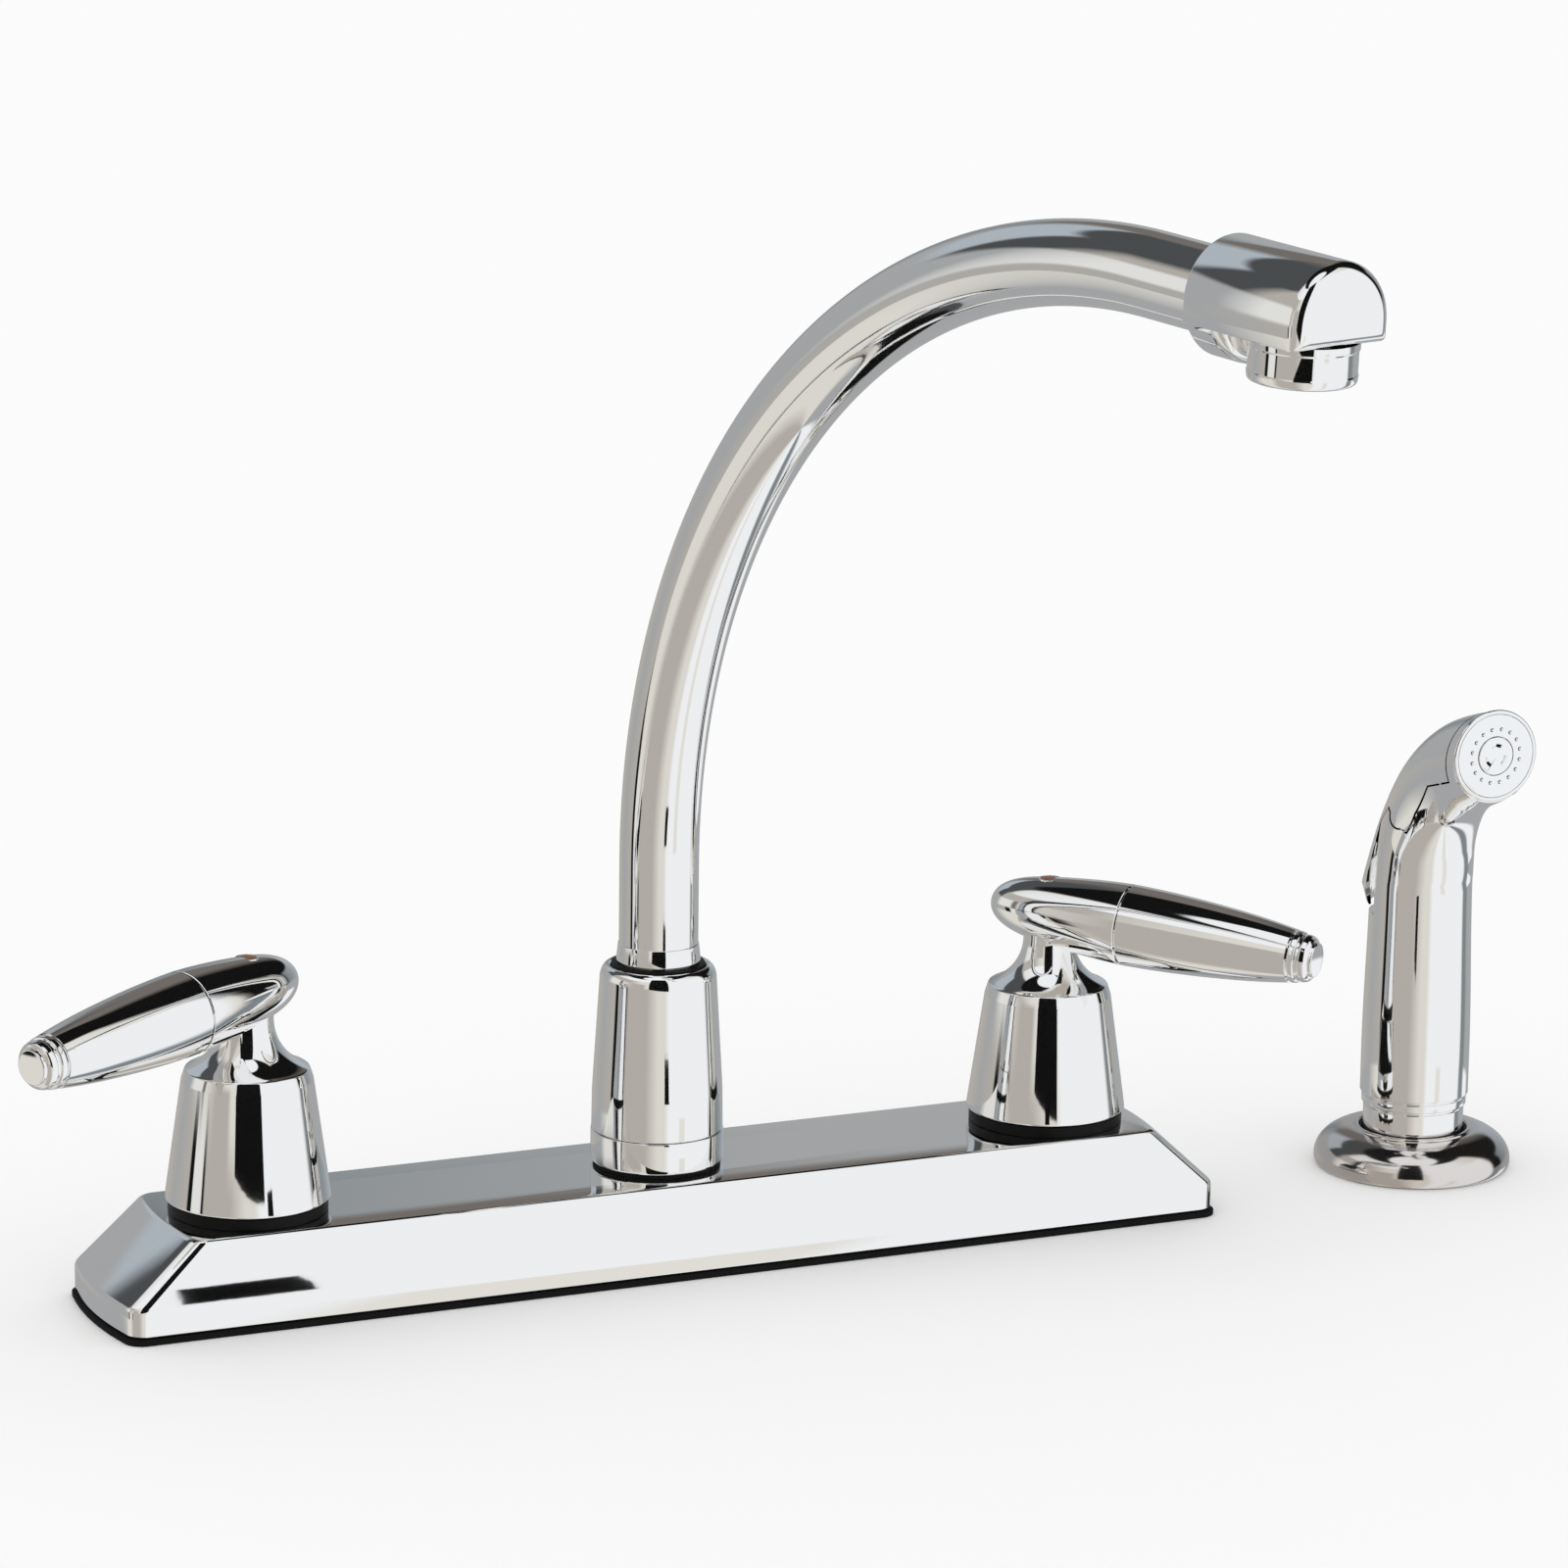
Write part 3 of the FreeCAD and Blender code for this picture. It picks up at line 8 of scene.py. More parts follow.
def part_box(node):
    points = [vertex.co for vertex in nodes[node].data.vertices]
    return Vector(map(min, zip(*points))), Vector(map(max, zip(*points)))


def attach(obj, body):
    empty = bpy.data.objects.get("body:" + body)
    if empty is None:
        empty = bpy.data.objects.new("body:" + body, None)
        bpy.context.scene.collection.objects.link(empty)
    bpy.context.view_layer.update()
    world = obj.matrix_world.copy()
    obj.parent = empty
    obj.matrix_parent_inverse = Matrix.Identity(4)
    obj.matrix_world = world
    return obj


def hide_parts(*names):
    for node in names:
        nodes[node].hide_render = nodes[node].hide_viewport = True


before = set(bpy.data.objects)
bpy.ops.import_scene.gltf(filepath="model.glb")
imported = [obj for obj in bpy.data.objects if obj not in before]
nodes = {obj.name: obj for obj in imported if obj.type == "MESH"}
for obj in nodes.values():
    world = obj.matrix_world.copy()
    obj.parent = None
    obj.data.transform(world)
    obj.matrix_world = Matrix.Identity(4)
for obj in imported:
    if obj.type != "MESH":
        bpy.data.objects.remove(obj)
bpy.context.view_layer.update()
mm = 0.001

# ---- camera ----------------------------------------------------------------------------------
# A long lens looks down a little on the faucet from its front left, where the photograph was
# taken, with the picture turned less than a degree.
photo_size = 1600
photo_focus = 6876.8
photo_from = Vector((-594.72, -1399.81, 477.71)) * mm
view_forward = Vector((0.3972, 0.8878, -0.2325)).normalized()
view_right = Vector((0.9140, -0.4056, 0.0127))
view_right = (view_right - view_right.dot(view_forward) * view_forward).normalized()
view_up = view_right.cross(view_forward)

lens = bpy.data.cameras.new("photo_camera")
lens.sensor_width = 36.0
lens.lens = photo_focus * lens.sensor_width / photo_size
lens.clip_start = 0.05
camera = bpy.data.objects.new("photo_camera", lens)
turned_to = Matrix((view_right, view_up, -view_forward)).transposed().to_4x4()
camera.matrix_world = Matrix.Translation(photo_from) @ turned_to
bpy.context.scene.collection.objects.link(camera)
bpy.context.scene.camera = camera

# ---- studio ----------------------------------------------------------------------------------
# Polished chrome shows only what stands round it, so the studio is a ring of panels: a large
# white one at the front right, warm grey ones elsewhere, a dark ceiling and a few black edges.
# Azimuths are turned to the right from the camera's side, in degrees.
scene = bpy.context.scene
scene.view_settings.view_transform = "Standard"
world = bpy.data.worlds.new("studio")
world.use_nodes = True
scene.world = world
tree = world.node_tree
tree.nodes.clear()


def shader_node(tree, kind, inputs, **settings):
    """A node; each of its inputs gets a number, a colour or the socket that feeds it."""
    made = tree.nodes.new("ShaderNode" + kind)
    for key, value in settings.items():
        setattr(made, key, value)
    for key, value in inputs.items():
        if isinstance(value, bpy.types.NodeSocket):
            tree.links.new(value, made.inputs[key])
        else:
            made.inputs[key].default_value = value
    return made


def world_math(operation, *values):
    made = shader_node(tree, "Math", dict(enumerate(values)), operation=operation)
    return made.outputs[0]


white = (0.90, 0.92, 0.95)
bright = (0.78, 0.78, 0.77)
cream = (0.74, 0.72, 0.67)
paper_white = (0.79, 0.775, 0.73)
beige = (0.46, 0.435, 0.40)
brown = (0.17, 0.155, 0.145)
grey = (0.38, 0.39, 0.40)
sky = (0.43, 0.48, 0.53)
slate = (0.22, 0.25, 0.27)
dark = (0.07, 0.075, 0.08)
black = (0.006, 0.006, 0.006)

camera_side = math.atan2(-view_forward.y, -view_forward.x)
look = shader_node(tree, "TexCoord", {}).outputs["Generated"]
split = shader_node(tree, "SeparateXYZ", {0: look})
azimuth = world_math("ARCTAN2", split.outputs[1], split.outputs[0])
azimuth = world_math("ADD", azimuth, math.pi - camera_side + 2 * math.pi)
azimuth = world_math("MODULO", azimuth, 2 * math.pi)
azimuth = world_math("DIVIDE", azimuth, 2 * math.pi)
elevation = world_math("ARCSINE", split.outputs[2])
elevation = world_math("MULTIPLY_ADD", elevation, 1 / math.pi, 0.5)


def ring_of(stops):
    """A ring of colours round the object, each at its azimuth."""
    made = shader_node(tree, "ValToRGB", {0: azimuth})
    elements = made.color_ramp.elements
    while len(elements) > 1:
        elements.remove(elements[0])
    for number, (degrees, colour) in enumerate(stops):
        place = degrees / 360 + 0.5
        element = elements[0] if number == 0 else elements.new(place)
        element.position = place
        element.color = (*colour, 1)
    return made.outputs[0]


ground_ring = ring_of([
    (-180, grey), (-120, grey), (-96, cream), (-72, cream), (-58, beige), (-20, beige),
    (2, cream), (14, cream), (22, white), (40.6, white), (41.2, paper_white),
    (51, paper_white), (52, white), (101, white), (107, slate), (118, slate), (124, white),
    (138, white), (145, grey), (180, grey)])
floor_ring = ring_of([
    (-180, grey), (-150, beige), (-120, grey), (-90, beige), (-87.5, black), (-81, black),
    (-80, bright), (-65, bright), (-63.5, black), (-61, black), (-59, beige), (-20, beige),
    (2, cream), (14, cream), (22, white), (101, white), (104, cream), (107, slate), (118, slate),
    (126, grey), (180, grey)])
level_ring = ring_of([
    (-180, grey), (-173, slate), (-160, grey), (-112, grey), (-100, bright), (-81, bright),
    (-78, brown), (-75, brown), (-72, cream), (-50, beige), (-28, beige), (-22, cream),
    (14, cream), (19, white), (100, white), (104, cream), (106, black), (121, black),
    (127, slate), (168, sky), (176, grey), (180, grey)])
high_ring = ring_of([
    (-180, brown), (-170, brown), (-163, sky), (-134, sky), (-129, dark), (-111, dark),
    (-104, beige), (-60, beige), (-35, cream), (0, bright), (20, white), (100, white),
    (108, black), (158, black), (172, brown), (180, brown)])
roof_ring = ring_of([
    (-180, brown), (-165, dark), (-108, dark), (-100, bright), (-60, white), (60, white),
    (100, cream), (108, black), (158, black), (172, brown), (180, brown)])


def rise_share(position, start, end):
    """From nought to one between two values, eased."""
    return shader_node(tree, "MapRange", {"Value": position, "From Min": start, "From Max": end},
                       interpolation_type="SMOOTHSTEP").outputs[0]


def mixed(share, lower, upper):
    return shader_node(tree, "Mix", {"Factor": share, "A": lower, "B": upper},
                       data_type="RGBA").outputs["Result"]


def blend(lower, upper, start, end):
    """Colours that change from one ring to the next between two heights, in degrees."""
    return mixed(rise_share(elevation, start / 180 + 0.5, end / 180 + 0.5), lower, upper)


studio = blend(ground_ring, floor_ring, -16.9, -16.3)
studio = blend(studio, level_ring, -7, -1)
studio = blend(studio, high_ring, 17, 22)
studio = blend(studio, roof_ring, 36, 39)
studio = blend(studio, (*black, 1), 56, 59)
# A round lamp hangs high in front, and is seen low on the flares of the bells.
lamp_height = math.radians(74)
lamp_edge = math.radians(20)
lamp_core = math.radians(18)
lamp_way = Vector((view_forward.x, view_forward.y, 0)).normalized() * -math.cos(lamp_height)
lamp_way.z = math.sin(lamp_height)
lamp_dot = shader_node(tree, "VectorMath", {0: look, 1: lamp_way}, operation="DOT_PRODUCT")
lamp_share = rise_share(lamp_dot.outputs["Value"], math.cos(lamp_edge), math.cos(lamp_core))
studio = mixed(lamp_share, studio, (*white, 1))
mirror_light = shader_node(tree, "Background", {"Color": studio})
even_light = shader_node(tree, "Background", {"Color": (1, 1, 1, 1), "Strength": 1.0})


def by_ray(tree, plain, mirrored, output):
    """One shader for what the chrome sees and another for all other rays."""
    ray = shader_node(tree, "LightPath", {}).outputs["Is Glossy Ray"]
    choice = shader_node(tree, "MixShader",
                         {0: ray, 1: plain.outputs[0], 2: mirrored.outputs[0]})
    shader_node(tree, output, {"Surface": choice.outputs[0]})


by_ray(tree, even_light, mirror_light, "OutputWorld")

# The floor is a plain white sheet.  It holds the soft shadow, and the chrome looks past it at
# the studio panels.
floor_reach = 6.0
bm = bmesh.new()
bmesh.ops.create_grid(bm, x_segments=1, y_segments=1, size=floor_reach)
floor_mesh = bpy.data.meshes.new("floor")
bm.to_mesh(floor_mesh)
bm.free()
floor = bpy.data.objects.new("floor", floor_mesh)
scene.collection.objects.link(floor)


def matt_paper(name, colour, seen_by_chrome):
    """Matt paper that is there either only for rays off the chrome, or only for all others."""
    made = bpy.data.materials.new(name)
    made.use_nodes = True
    made.node_tree.nodes.clear()
    face = shader_node(made.node_tree, "BsdfDiffuse", {"Color": (*colour, 1)})
    clear = shader_node(made.node_tree, "BsdfTransparent", {})
    plain, mirrored = (clear, face) if seen_by_chrome else (face, clear)
    by_ray(made.node_tree, plain, mirrored, "OutputMaterial")
    return made


floor_mesh.materials.append(matt_paper("white_paper", (0.97, 0.97, 0.97), False))

# Cards that only the chrome sees: the camera's dark stand, which draws the black band down each
# bell, a small black card mirrored at the left end of the plate's front, and a warm grey one that
# screens the fittings under the plate from the spray.


def reflection_card(name, material, corners):
    bm = bmesh.new()
    bm.faces.new([bm.verts.new(Vector(corner) * mm) for corner in corners])
    mesh = bpy.data.meshes.new(name)
    bm.to_mesh(mesh)
    bm.free()
    mesh.materials.append(material)
    made = bpy.data.objects.new(name, mesh)
    scene.collection.objects.link(made)


black_card = matt_paper("black_card", black, True)
reflection_card("stand_card", black_card, [
    (-1311, -1517, -125), (-43, -912, -76), (-43, -912, 1500), (-1311, -1517, 3300)])
reflection_card("near_card", black_card, [
    (-60, -330, -30), (-12, -330, -30), (-19, -330, -2), (-60, -330, -2)])
reflection_card("screen_card", matt_paper("warm_card", beige, True), [
    (141, -18, -90), (141, 45, -90), (141, 45, -0.3), (141, -18, -0.3)])

# ---- deck plate ------------------------------------------------------------------------------
# A pressed brass cover, polished and chrome plated, that hides the waterway.  It has a low
# upright skirt, steep front and back faces and sloped bowed ends, with every edge eased.


def surface(name, colour, roughness, haze, cloud, grain, grain_depth, fine=None, **settings):
    """A finish whose haze and grain come from noise: cloud and fine are (scale, detail)."""
    made = bpy.data.materials.new(name)
    made.use_nodes = True
    tree = made.node_tree
    place = shader_node(tree, "TexCoord", {}).outputs["Object"]
    clouds = shader_node(tree, "TexNoise", {"Vector": place, "Scale": cloud[0],
                                            "Detail": cloud[1]}).outputs[0]
    ripple = clouds
    if fine:
        ripple = shader_node(tree, "TexNoise", {"Vector": place, "Scale": fine[0],
                                                "Detail": fine[1]}).outputs[0]
    spread = shader_node(tree, "MapRange", {
        "Value": clouds, "To Min": roughness * haze[0], "To Max": min(1.0, roughness * haze[1])})
    bump = shader_node(tree, "Bump", {"Height": ripple, "Strength": grain,
                                      "Distance": grain_depth})
    shader = tree.nodes["Principled BSDF"]
    settings["Base Color"] = (*colour, 1)
    for key, value in settings.items():
        shader.inputs[key].default_value = value
    tree.links.new(spread.outputs[0], shader.inputs["Roughness"])
    tree.links.new(bump.outputs[0], shader.inputs["Normal"])
    return made, clouds


def plated(name, colour, roughness, grain):
    """Polished plate: mirror bright, with faint haze and the slight waviness of buffing."""
    return surface(name, colour, roughness, (0.6, 1.5), (60.0, 5.0), grain, 0.2 * mm,
                   (220.0, 2.0), Metallic=1.0)[0]


chrome = plated("chrome_plate", (0.93, 0.925, 0.915), 0.035, 0.02)


def merged(bm):
    """Joins the points that lie together, and turns every face outward."""
    bmesh.ops.remove_doubles(bm, verts=bm.verts, dist=1e-7)
    bmesh.ops.recalc_face_normals(bm, faces=bm.faces)
    return bm


def finish_piece(name, bm, material, body, replaced=None, sharp=30, flat_over=1.0):
    """Puts a finished mesh in the scene, shades it, hangs it on the body it rides on, and hides
    the part it stands for.
    """
    mesh = bpy.data.meshes.new(name)
    merged(bm).to_mesh(mesh)
    bm.free()
    mesh.polygons.foreach_set("use_smooth", [face.area < flat_over for face in mesh.polygons])
    mesh.set_sharp_from_angle(angle=math.radians(sharp))
    mesh.materials.append(material)
    piece = bpy.data.objects.new(name, mesh)
    scene.collection.objects.link(piece)
    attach(piece, body)
    if replaced:
        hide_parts(replaced)


def bridge(bm, rings):
    """Faces between closed rings of points that have the same count."""
    made = [[bm.verts.new(spot) for spot in ring] for ring in rings]
    for lower, upper in zip(made, made[1:]):
        count = len(lower)
        for number in range(count):
            after = (number + 1) % count
            bm.faces.new((lower[number], lower[after], upper[after], upper[number]))
    return made


gasket_thickness = 1.4 * mm
plate_skirt_top = 8.2 * mm
plate_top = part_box("deck_plate")[1].z
skirt_half = (136.5 * mm, 22.1 * mm)
top_half = (121.2 * mm, 20.4 * mm)
end_bow = 2.5 * mm
hip_radius = 3.4 * mm
hip_steps = 8
bow_steps = 24
flat_face = 400 * mm ** 2
hole_pitch = 101.6 * mm
neck_hole = 12.4 * mm


def plate_ring(half_length, half_width, bow, corner, height):
    """A long rectangle with bowed ends and rounded corners."""
    spots = []
    for quarter in range(4):
        side = 1 if quarter in (1, 2) else -1
        end = 1 if quarter in (0, 1) else -1
        across = half_width - corner
        for step in range(hip_steps + 1):
            turn = math.pi / 2 * step / hip_steps
            share = turn if quarter in (0, 2) else math.pi / 2 - turn
            x = half_length - corner + corner * math.sin(share)
            y = across + corner * math.cos(share)
            x += bow * (1 - (y / half_width) ** 2)
            spots.append(Vector((end * x, side * y, height)))
        if quarter in (0, 2):
            for step in range(1, bow_steps):
                y = across * (1 - 2 * step / bow_steps)
                x = half_length + bow * (1 - (y / half_width) ** 2)
                spots.append(Vector((end * x, side * y, height)))
    return spots


def eased_block(levels, ease, steps):
    """A block through stacked outlines, with the edges between them rounded off."""
    bm = bmesh.new()
    rings = bridge(bm, [plate_ring(*level) for level in levels])
    bm.faces.new(rings[0])
    bm.faces.new(rings[-1])
    bmesh.ops.recalc_face_normals(bm, faces=bm.faces)
    bm.edges.ensure_lookup_table()
    hard = [edge for edge in bm.edges
            if len(edge.link_faces) == 2 and edge.calc_face_angle() > math.radians(20)]
    bmesh.ops.bevel(bm, geom=hard, offset=ease, segments=steps, profile=0.5, affect="EDGES")
    return bm


def carved(base, *steps):
    """The base cut or joined by one tool after another; each step is (operation, tool)."""
    def thing(bm):
        mesh = bpy.data.meshes.new("carving")
        bm.to_mesh(mesh)
        bm.free()
        made = bpy.data.objects.new("carving", mesh)
        scene.collection.objects.link(made)
        return made

    target = thing(base)
    used = [target]
    for operation, tool in steps:
        cutter = thing(tool)
        cutter.hide_render = True
        modifier = target.modifiers.new("carve", "BOOLEAN")
        modifier.operation = operation
        modifier.solver = "EXACT"
        modifier.object = cutter
        used.append(cutter)
    graph = bpy.context.evaluated_depsgraph_get()
    result = bmesh.new()
    finished = target.evaluated_get(graph).to_mesh()
    result.from_mesh(finished)
    target.evaluated_get(graph).to_mesh_clear()
    for item in used:
        mesh = item.data
        bpy.data.objects.remove(item)
        bpy.data.meshes.remove(mesh)
    return result


def add_bar(bm, radius, low, high, x=0.0, y=0.0, segments=96):
    """Adds an upright round bar, mostly as a tool to cut a hole with."""
    made = bmesh.ops.create_cone(bm, cap_ends=True, segments=segments, radius1=radius,
                                 radius2=radius, depth=high - low)
    bmesh.ops.translate(bm, vec=Vector((x, y, (low + high) / 2)), verts=made["verts"])


plate_bm = eased_block([
    (*skirt_half, end_bow, hip_radius, gasket_thickness),
    (*skirt_half, end_bow, hip_radius, plate_skirt_top),
    (*top_half, end_bow * 0.8, hip_radius, plate_top)], 0.8 * mm, 5)
holes_bm = bmesh.new()
for x in (-hole_pitch, 0, hole_pitch):
    add_bar(holes_bm, neck_hole, -plate_top, 2 * plate_top, x)
plate_bm = carved(plate_bm, ("DIFFERENCE", holes_bm))
finish_piece("cover_plate", plate_bm, chrome, "root", "deck_plate", 40,
             flat_face)

# ---- base gasket -----------------------------------------------------------------------------
# A black rubber sheet under the plate that seals it to the sink.  It shows as a thin dark line
# and stands a little proud of the skirt.
gasket_proud = 0.6 * mm


def moulded(name, colour, roughness, grain, scale, shine=0.5):
    """Moulded rubber or plastic with a fine skin texture."""
    return surface(name, colour, roughness, (0.8, 1.25), (scale, 6.0), grain, 0.1 * mm,
                   **{"Specular IOR Level": shine})[0]


black_rubber = moulded("black_rubber", (0.006, 0.006, 0.006), 0.7, 0.4, 900.0, 0.12)
black_plastic = moulded("black_plastic", (0.005, 0.005, 0.005), 0.4, 0.2, 700.0, 0.12)
gasket_half = (skirt_half[0] + gasket_proud, skirt_half[1] + gasket_proud)
gasket_bm = eased_block([
    (*gasket_half, end_bow, hip_radius, 0.0),
    (*gasket_half, end_bow, hip_radius, gasket_thickness)], 0.3 * mm, 3)
finish_piece("plate_gasket", gasket_bm, black_rubber, "root", "base_gasket", 40)

# ---- waterway, shanks and nuts ---------------------------------------------------------------
# A cast brass waterway under the plate carries the valves and the spout.  Threaded shanks go down
# through the sink, with zinc plated washers and brass nuts that clamp from below.


def metal(name, colour, roughness, grain, scale):
    """Cast or machined metal: mottled in colour and haze, with a fine surface grain."""
    made, clouds = surface(name, colour, roughness, (0.7, 1.3), (scale, 6.0), grain, 0.2 * mm,
                           Metallic=1.0)
    tint = shader_node(made.node_tree, "ValToRGB", {0: clouds})
    dull, clean = tint.color_ramp.elements
    dull.position, dull.color = 0.3, (*(part * 0.82 for part in colour), 1)
    clean.position, clean.color = 0.7, (*colour, 1)
    shader = made.node_tree.nodes["Principled BSDF"]
    made.node_tree.links.new(tint.outputs[0], shader.inputs["Base Color"])
    return made


def coat(node, material):
    """Give a CAD node that shows as it is its own material."""
    mesh = nodes[node].data
    mesh.materials.clear()
    mesh.materials.append(material)


sides = ("left", "right")
cast_brass = metal("cast_brass", (0.62, 0.46, 0.22), 0.45, 0.35, 500.0)
turned_brass = metal("turned_brass", (0.74, 0.56, 0.28), 0.25, 0.1, 900.0)
zinc_steel = metal("zinc_steel", (0.62, 0.62, 0.60), 0.32, 0.15, 700.0)
coat("waterway_body", cast_brass)
coat("spray_nipple", turned_brass)
for side in sides:
    coat("inlet_shank_" + side, turned_brass)
    coat("locknut_" + side, cast_brass)
    coat("deck_washer_" + side, zinc_steel)

# ---- valves ----------------------------------------------------------------------------------
# Each valve is a turned brass shell and stem with a pair of lapped ceramic discs on a rubber
# seal, held down by a hexagon bonnet nut.
lapped_ceramic = moulded("lapped_ceramic", (0.85, 0.84, 0.80), 0.3, 0.05, 1200.0)
for side in sides:
    coat("cartridge_shell_" + side, turned_brass)
    coat("valve_stem_" + side, turned_brass)
    coat("bonnet_nut_" + side, turned_brass)
    coat("fixed_disc_" + side, lapped_ceramic)
    coat("seat_seal_" + side, black_rubber)
coat("diverter_piston", black_plastic)

# ---- glide rings -----------------------------------------------------------------------------
# Black nylon rings clamped on the plate by the bonnet nuts.  The bells turn just above them, and
# they show as the dark band under each bell.
around = 160


def eased_outline(corners, steps=5):
    """An outline of (radius, height, ease): every corner with an ease is rounded to it."""
    spots = []
    count = len(corners)
    for number, (radius, height, ease) in enumerate(corners):
        here = Vector((radius, height))
        if ease <= 0 or number in (0, count - 1):
            spots.append(here)
            continue
        before = Vector(corners[number - 1][:2]) - here
        after = Vector(corners[number + 1][:2]) - here
        angle = before.angle(after)
        run = min(ease / math.tan(angle / 2), before.length * 0.49, after.length * 0.49)
        first = here + before.normalized() * run
        last = here + after.normalized() * run
        for step in range(steps + 1):
            share = step / steps
            spots.append(first * (1 - share) ** 2 + here * 2 * share * (1 - share)
                         + last * share ** 2)
    return spots


def lathe(outline, centre=(0.0, 0.0), closed=False, segments=around):
    """A turned mesh about an upright axis through the centre."""
    bm = bmesh.new()
    rings = []
    for radius, height in outline:
        ring = []
        for number in range(segments):
            turn = 2 * math.pi * number / segments
            ring.append(Vector((centre[0] + radius * math.cos(turn),
                                centre[1] + radius * math.sin(turn), height)))
        rings.append(ring)
    if closed:
        rings.append(rings[0])
    bridge(bm, rings)
    return bm


def ring_outline(outer, inner, low, high, ease):
    corners = [(inner, low, 0), (outer, low, ease), (outer, high, ease), (inner, high, 0)]
    return eased_outline(corners)


def middle(node):
    low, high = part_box(node)
    return (low.x + high.x) / 2, (low.y + high.y) / 2


glide_radius = 18.4 * mm
neck_radius = 12.2 * mm
for side in sides:
    low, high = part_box("glide_ring_" + side)
    ring_bm = lathe(ring_outline(glide_radius, neck_radius, low.z, high.z, 0.4 * mm),
                    middle("glide_ring_" + side))
    finish_piece("black_ring_" + side, ring_bm, black_plastic, "root", "glide_ring_" + side)

# ---- handles ---------------------------------------------------------------------------------
# One zinc casting each, chrome plated: a tapered bell, a trumpet flare up to a slim neck, and
# the rounded root of the torpedo lever that lies across the neck's top.
bell_radius = 19.1 * mm
bell_rim_radius = 15.0 * mm
bell_bottom = 25.6 * mm
bell_top = 54.6 * mm
bell_wall = 1.7 * mm
rim_collar = 1.0 * mm
collar_radius = 14.3 * mm
flare_radius = 12.0 * mm
flare_height = 13.0 * mm
handle_neck_radius = 6.1 * mm
lever_height = 74.15 * mm
lever_droop = math.radians(2.9)
lever_back = 14.9 * mm
lever_back_power = 3
lever_back_blunt = 0.42
lever_root_power = 1.6
lever_taper_power = 1.8
lever_hub_radius = 8.06 * mm
lever_belly = 9.75 * mm
lever_joint = 20.9 * mm
lever_mid = 49.9 * mm
lever_mid_radius = 8.14 * mm
lever_cap_start = 63.2 * mm
lever_cap_radius = 6.35 * mm
lever_tip = 69.2 * mm
joint_half_gap = 0.35 * mm
lever_angles = {"left": math.radians(180 + 27.35), "right": math.radians(-50.44)}
bell_centres = {side: middle("glide_ring_" + side) for side in sides}


def bell_outline():
    """Hollow bell with a crisp edge, a steep collar above it and a flare up to the neck."""
    taper = (bell_radius - bell_rim_radius) / (bell_top - bell_bottom)
    edge = bell_top - rim_collar
    edge_radius = bell_rim_radius + taper * rim_collar
    flare_top = bell_top + flare_height
    flare_middle = handle_neck_radius + flare_radius
    first_turn = math.acos((flare_middle - collar_radius) / flare_radius)
    flare_foot = flare_top - flare_radius * math.sin(first_turn)
    spots = eased_outline([(bell_rim_radius - bell_wall, edge - bell_wall, 0),
                           (bell_radius - bell_wall, bell_bottom, 0),
                           (bell_radius, bell_bottom, 0.5 * mm),
                           (edge_radius, edge, 0.15 * mm),
                           (collar_radius, flare_foot, 0.7 * mm),
                           (collar_radius - 0.8 * mm, flare_foot + 0.3 * mm, 0)])
    for step in range(1, 25):
        turn = first_turn * (1 - step / 24)
        spot = Vector((flare_middle - flare_radius * math.cos(turn),
                       flare_top - flare_radius * math.sin(turn)))
        if spot.x < collar_radius - 0.9 * mm:
            spots.append(spot)
    spots.append(Vector((handle_neck_radius, lever_height)))
    return spots


def lever_radius(place):
    """The torpedo's radius at a place along it: fattest at the joint line."""
    swell = lever_belly - lever_hub_radius
    if place < 0:
        slope = lever_root_power * swell / lever_joint
        end = max(0.0, 1 - (-place / lever_back) ** lever_back_power)
        return (lever_hub_radius + slope * place) * end ** lever_back_blunt
    if place < lever_joint:
        return lever_belly - swell * (1 - place / lever_joint) ** lever_root_power
    fall = lever_belly - lever_mid_radius
    taper_run = lever_mid - lever_joint
    if place < lever_mid:
        return lever_belly - fall * ((place - lever_joint) / taper_run) ** lever_taper_power
    last_run = lever_cap_start - lever_mid
    share = (place - lever_mid) / last_run
    drop = lever_taper_power * fall / taper_run * last_run
    return (lever_mid_radius - drop * share
            + (lever_cap_radius - lever_mid_radius + drop) * share ** 2)


def lever_matrix(side):
    """Stands a torpedo, drawn upright, over the bell and dips it toward its tip."""
    angle = lever_angles[side]
    along = Vector((math.cos(angle) * math.cos(lever_droop),
                    math.sin(angle) * math.cos(lever_droop), -math.sin(lever_droop)))
    turn = Vector((0, 0, 1)).rotation_difference(along).to_matrix().to_4x4()
    centre = bell_centres[side]
    return Matrix.Translation((centre[0], centre[1], lever_height)) @ turn


def lever_piece(outline, side):
    bm = lathe(outline)
    bmesh.ops.transform(bm, matrix=lever_matrix(side), verts=bm.verts)
    return bm


root_end = lever_joint - joint_half_gap
root_outline = [Vector((0.0, -lever_back))]
for step in range(1, 33):
    place = -lever_back * math.cos(math.pi / 2 * step / 32)
    root_outline.append(Vector((lever_radius(place), place)))
for step in range(1, 31):
    place = root_end * step / 30
    root_outline.append(Vector((lever_radius(place), place)))
root_outline.append(Vector((lever_belly - 0.15 * mm, root_end + 0.12 * mm)))
root_outline.append(Vector((lever_belly - 1.0 * mm, root_end + 0.12 * mm)))
root_outline.append(Vector((lever_belly - 1.0 * mm, root_end + 0.9 * mm)))

for side in sides:
    body = side + "_handle"
    bell_bm = lathe(bell_outline(), bell_centres[side])
    finish_piece("bell_" + side, bell_bm, chrome, body, "handle_" + side)
    finish_piece("lever_root_" + side, lever_piece(root_outline, side), chrome, body)

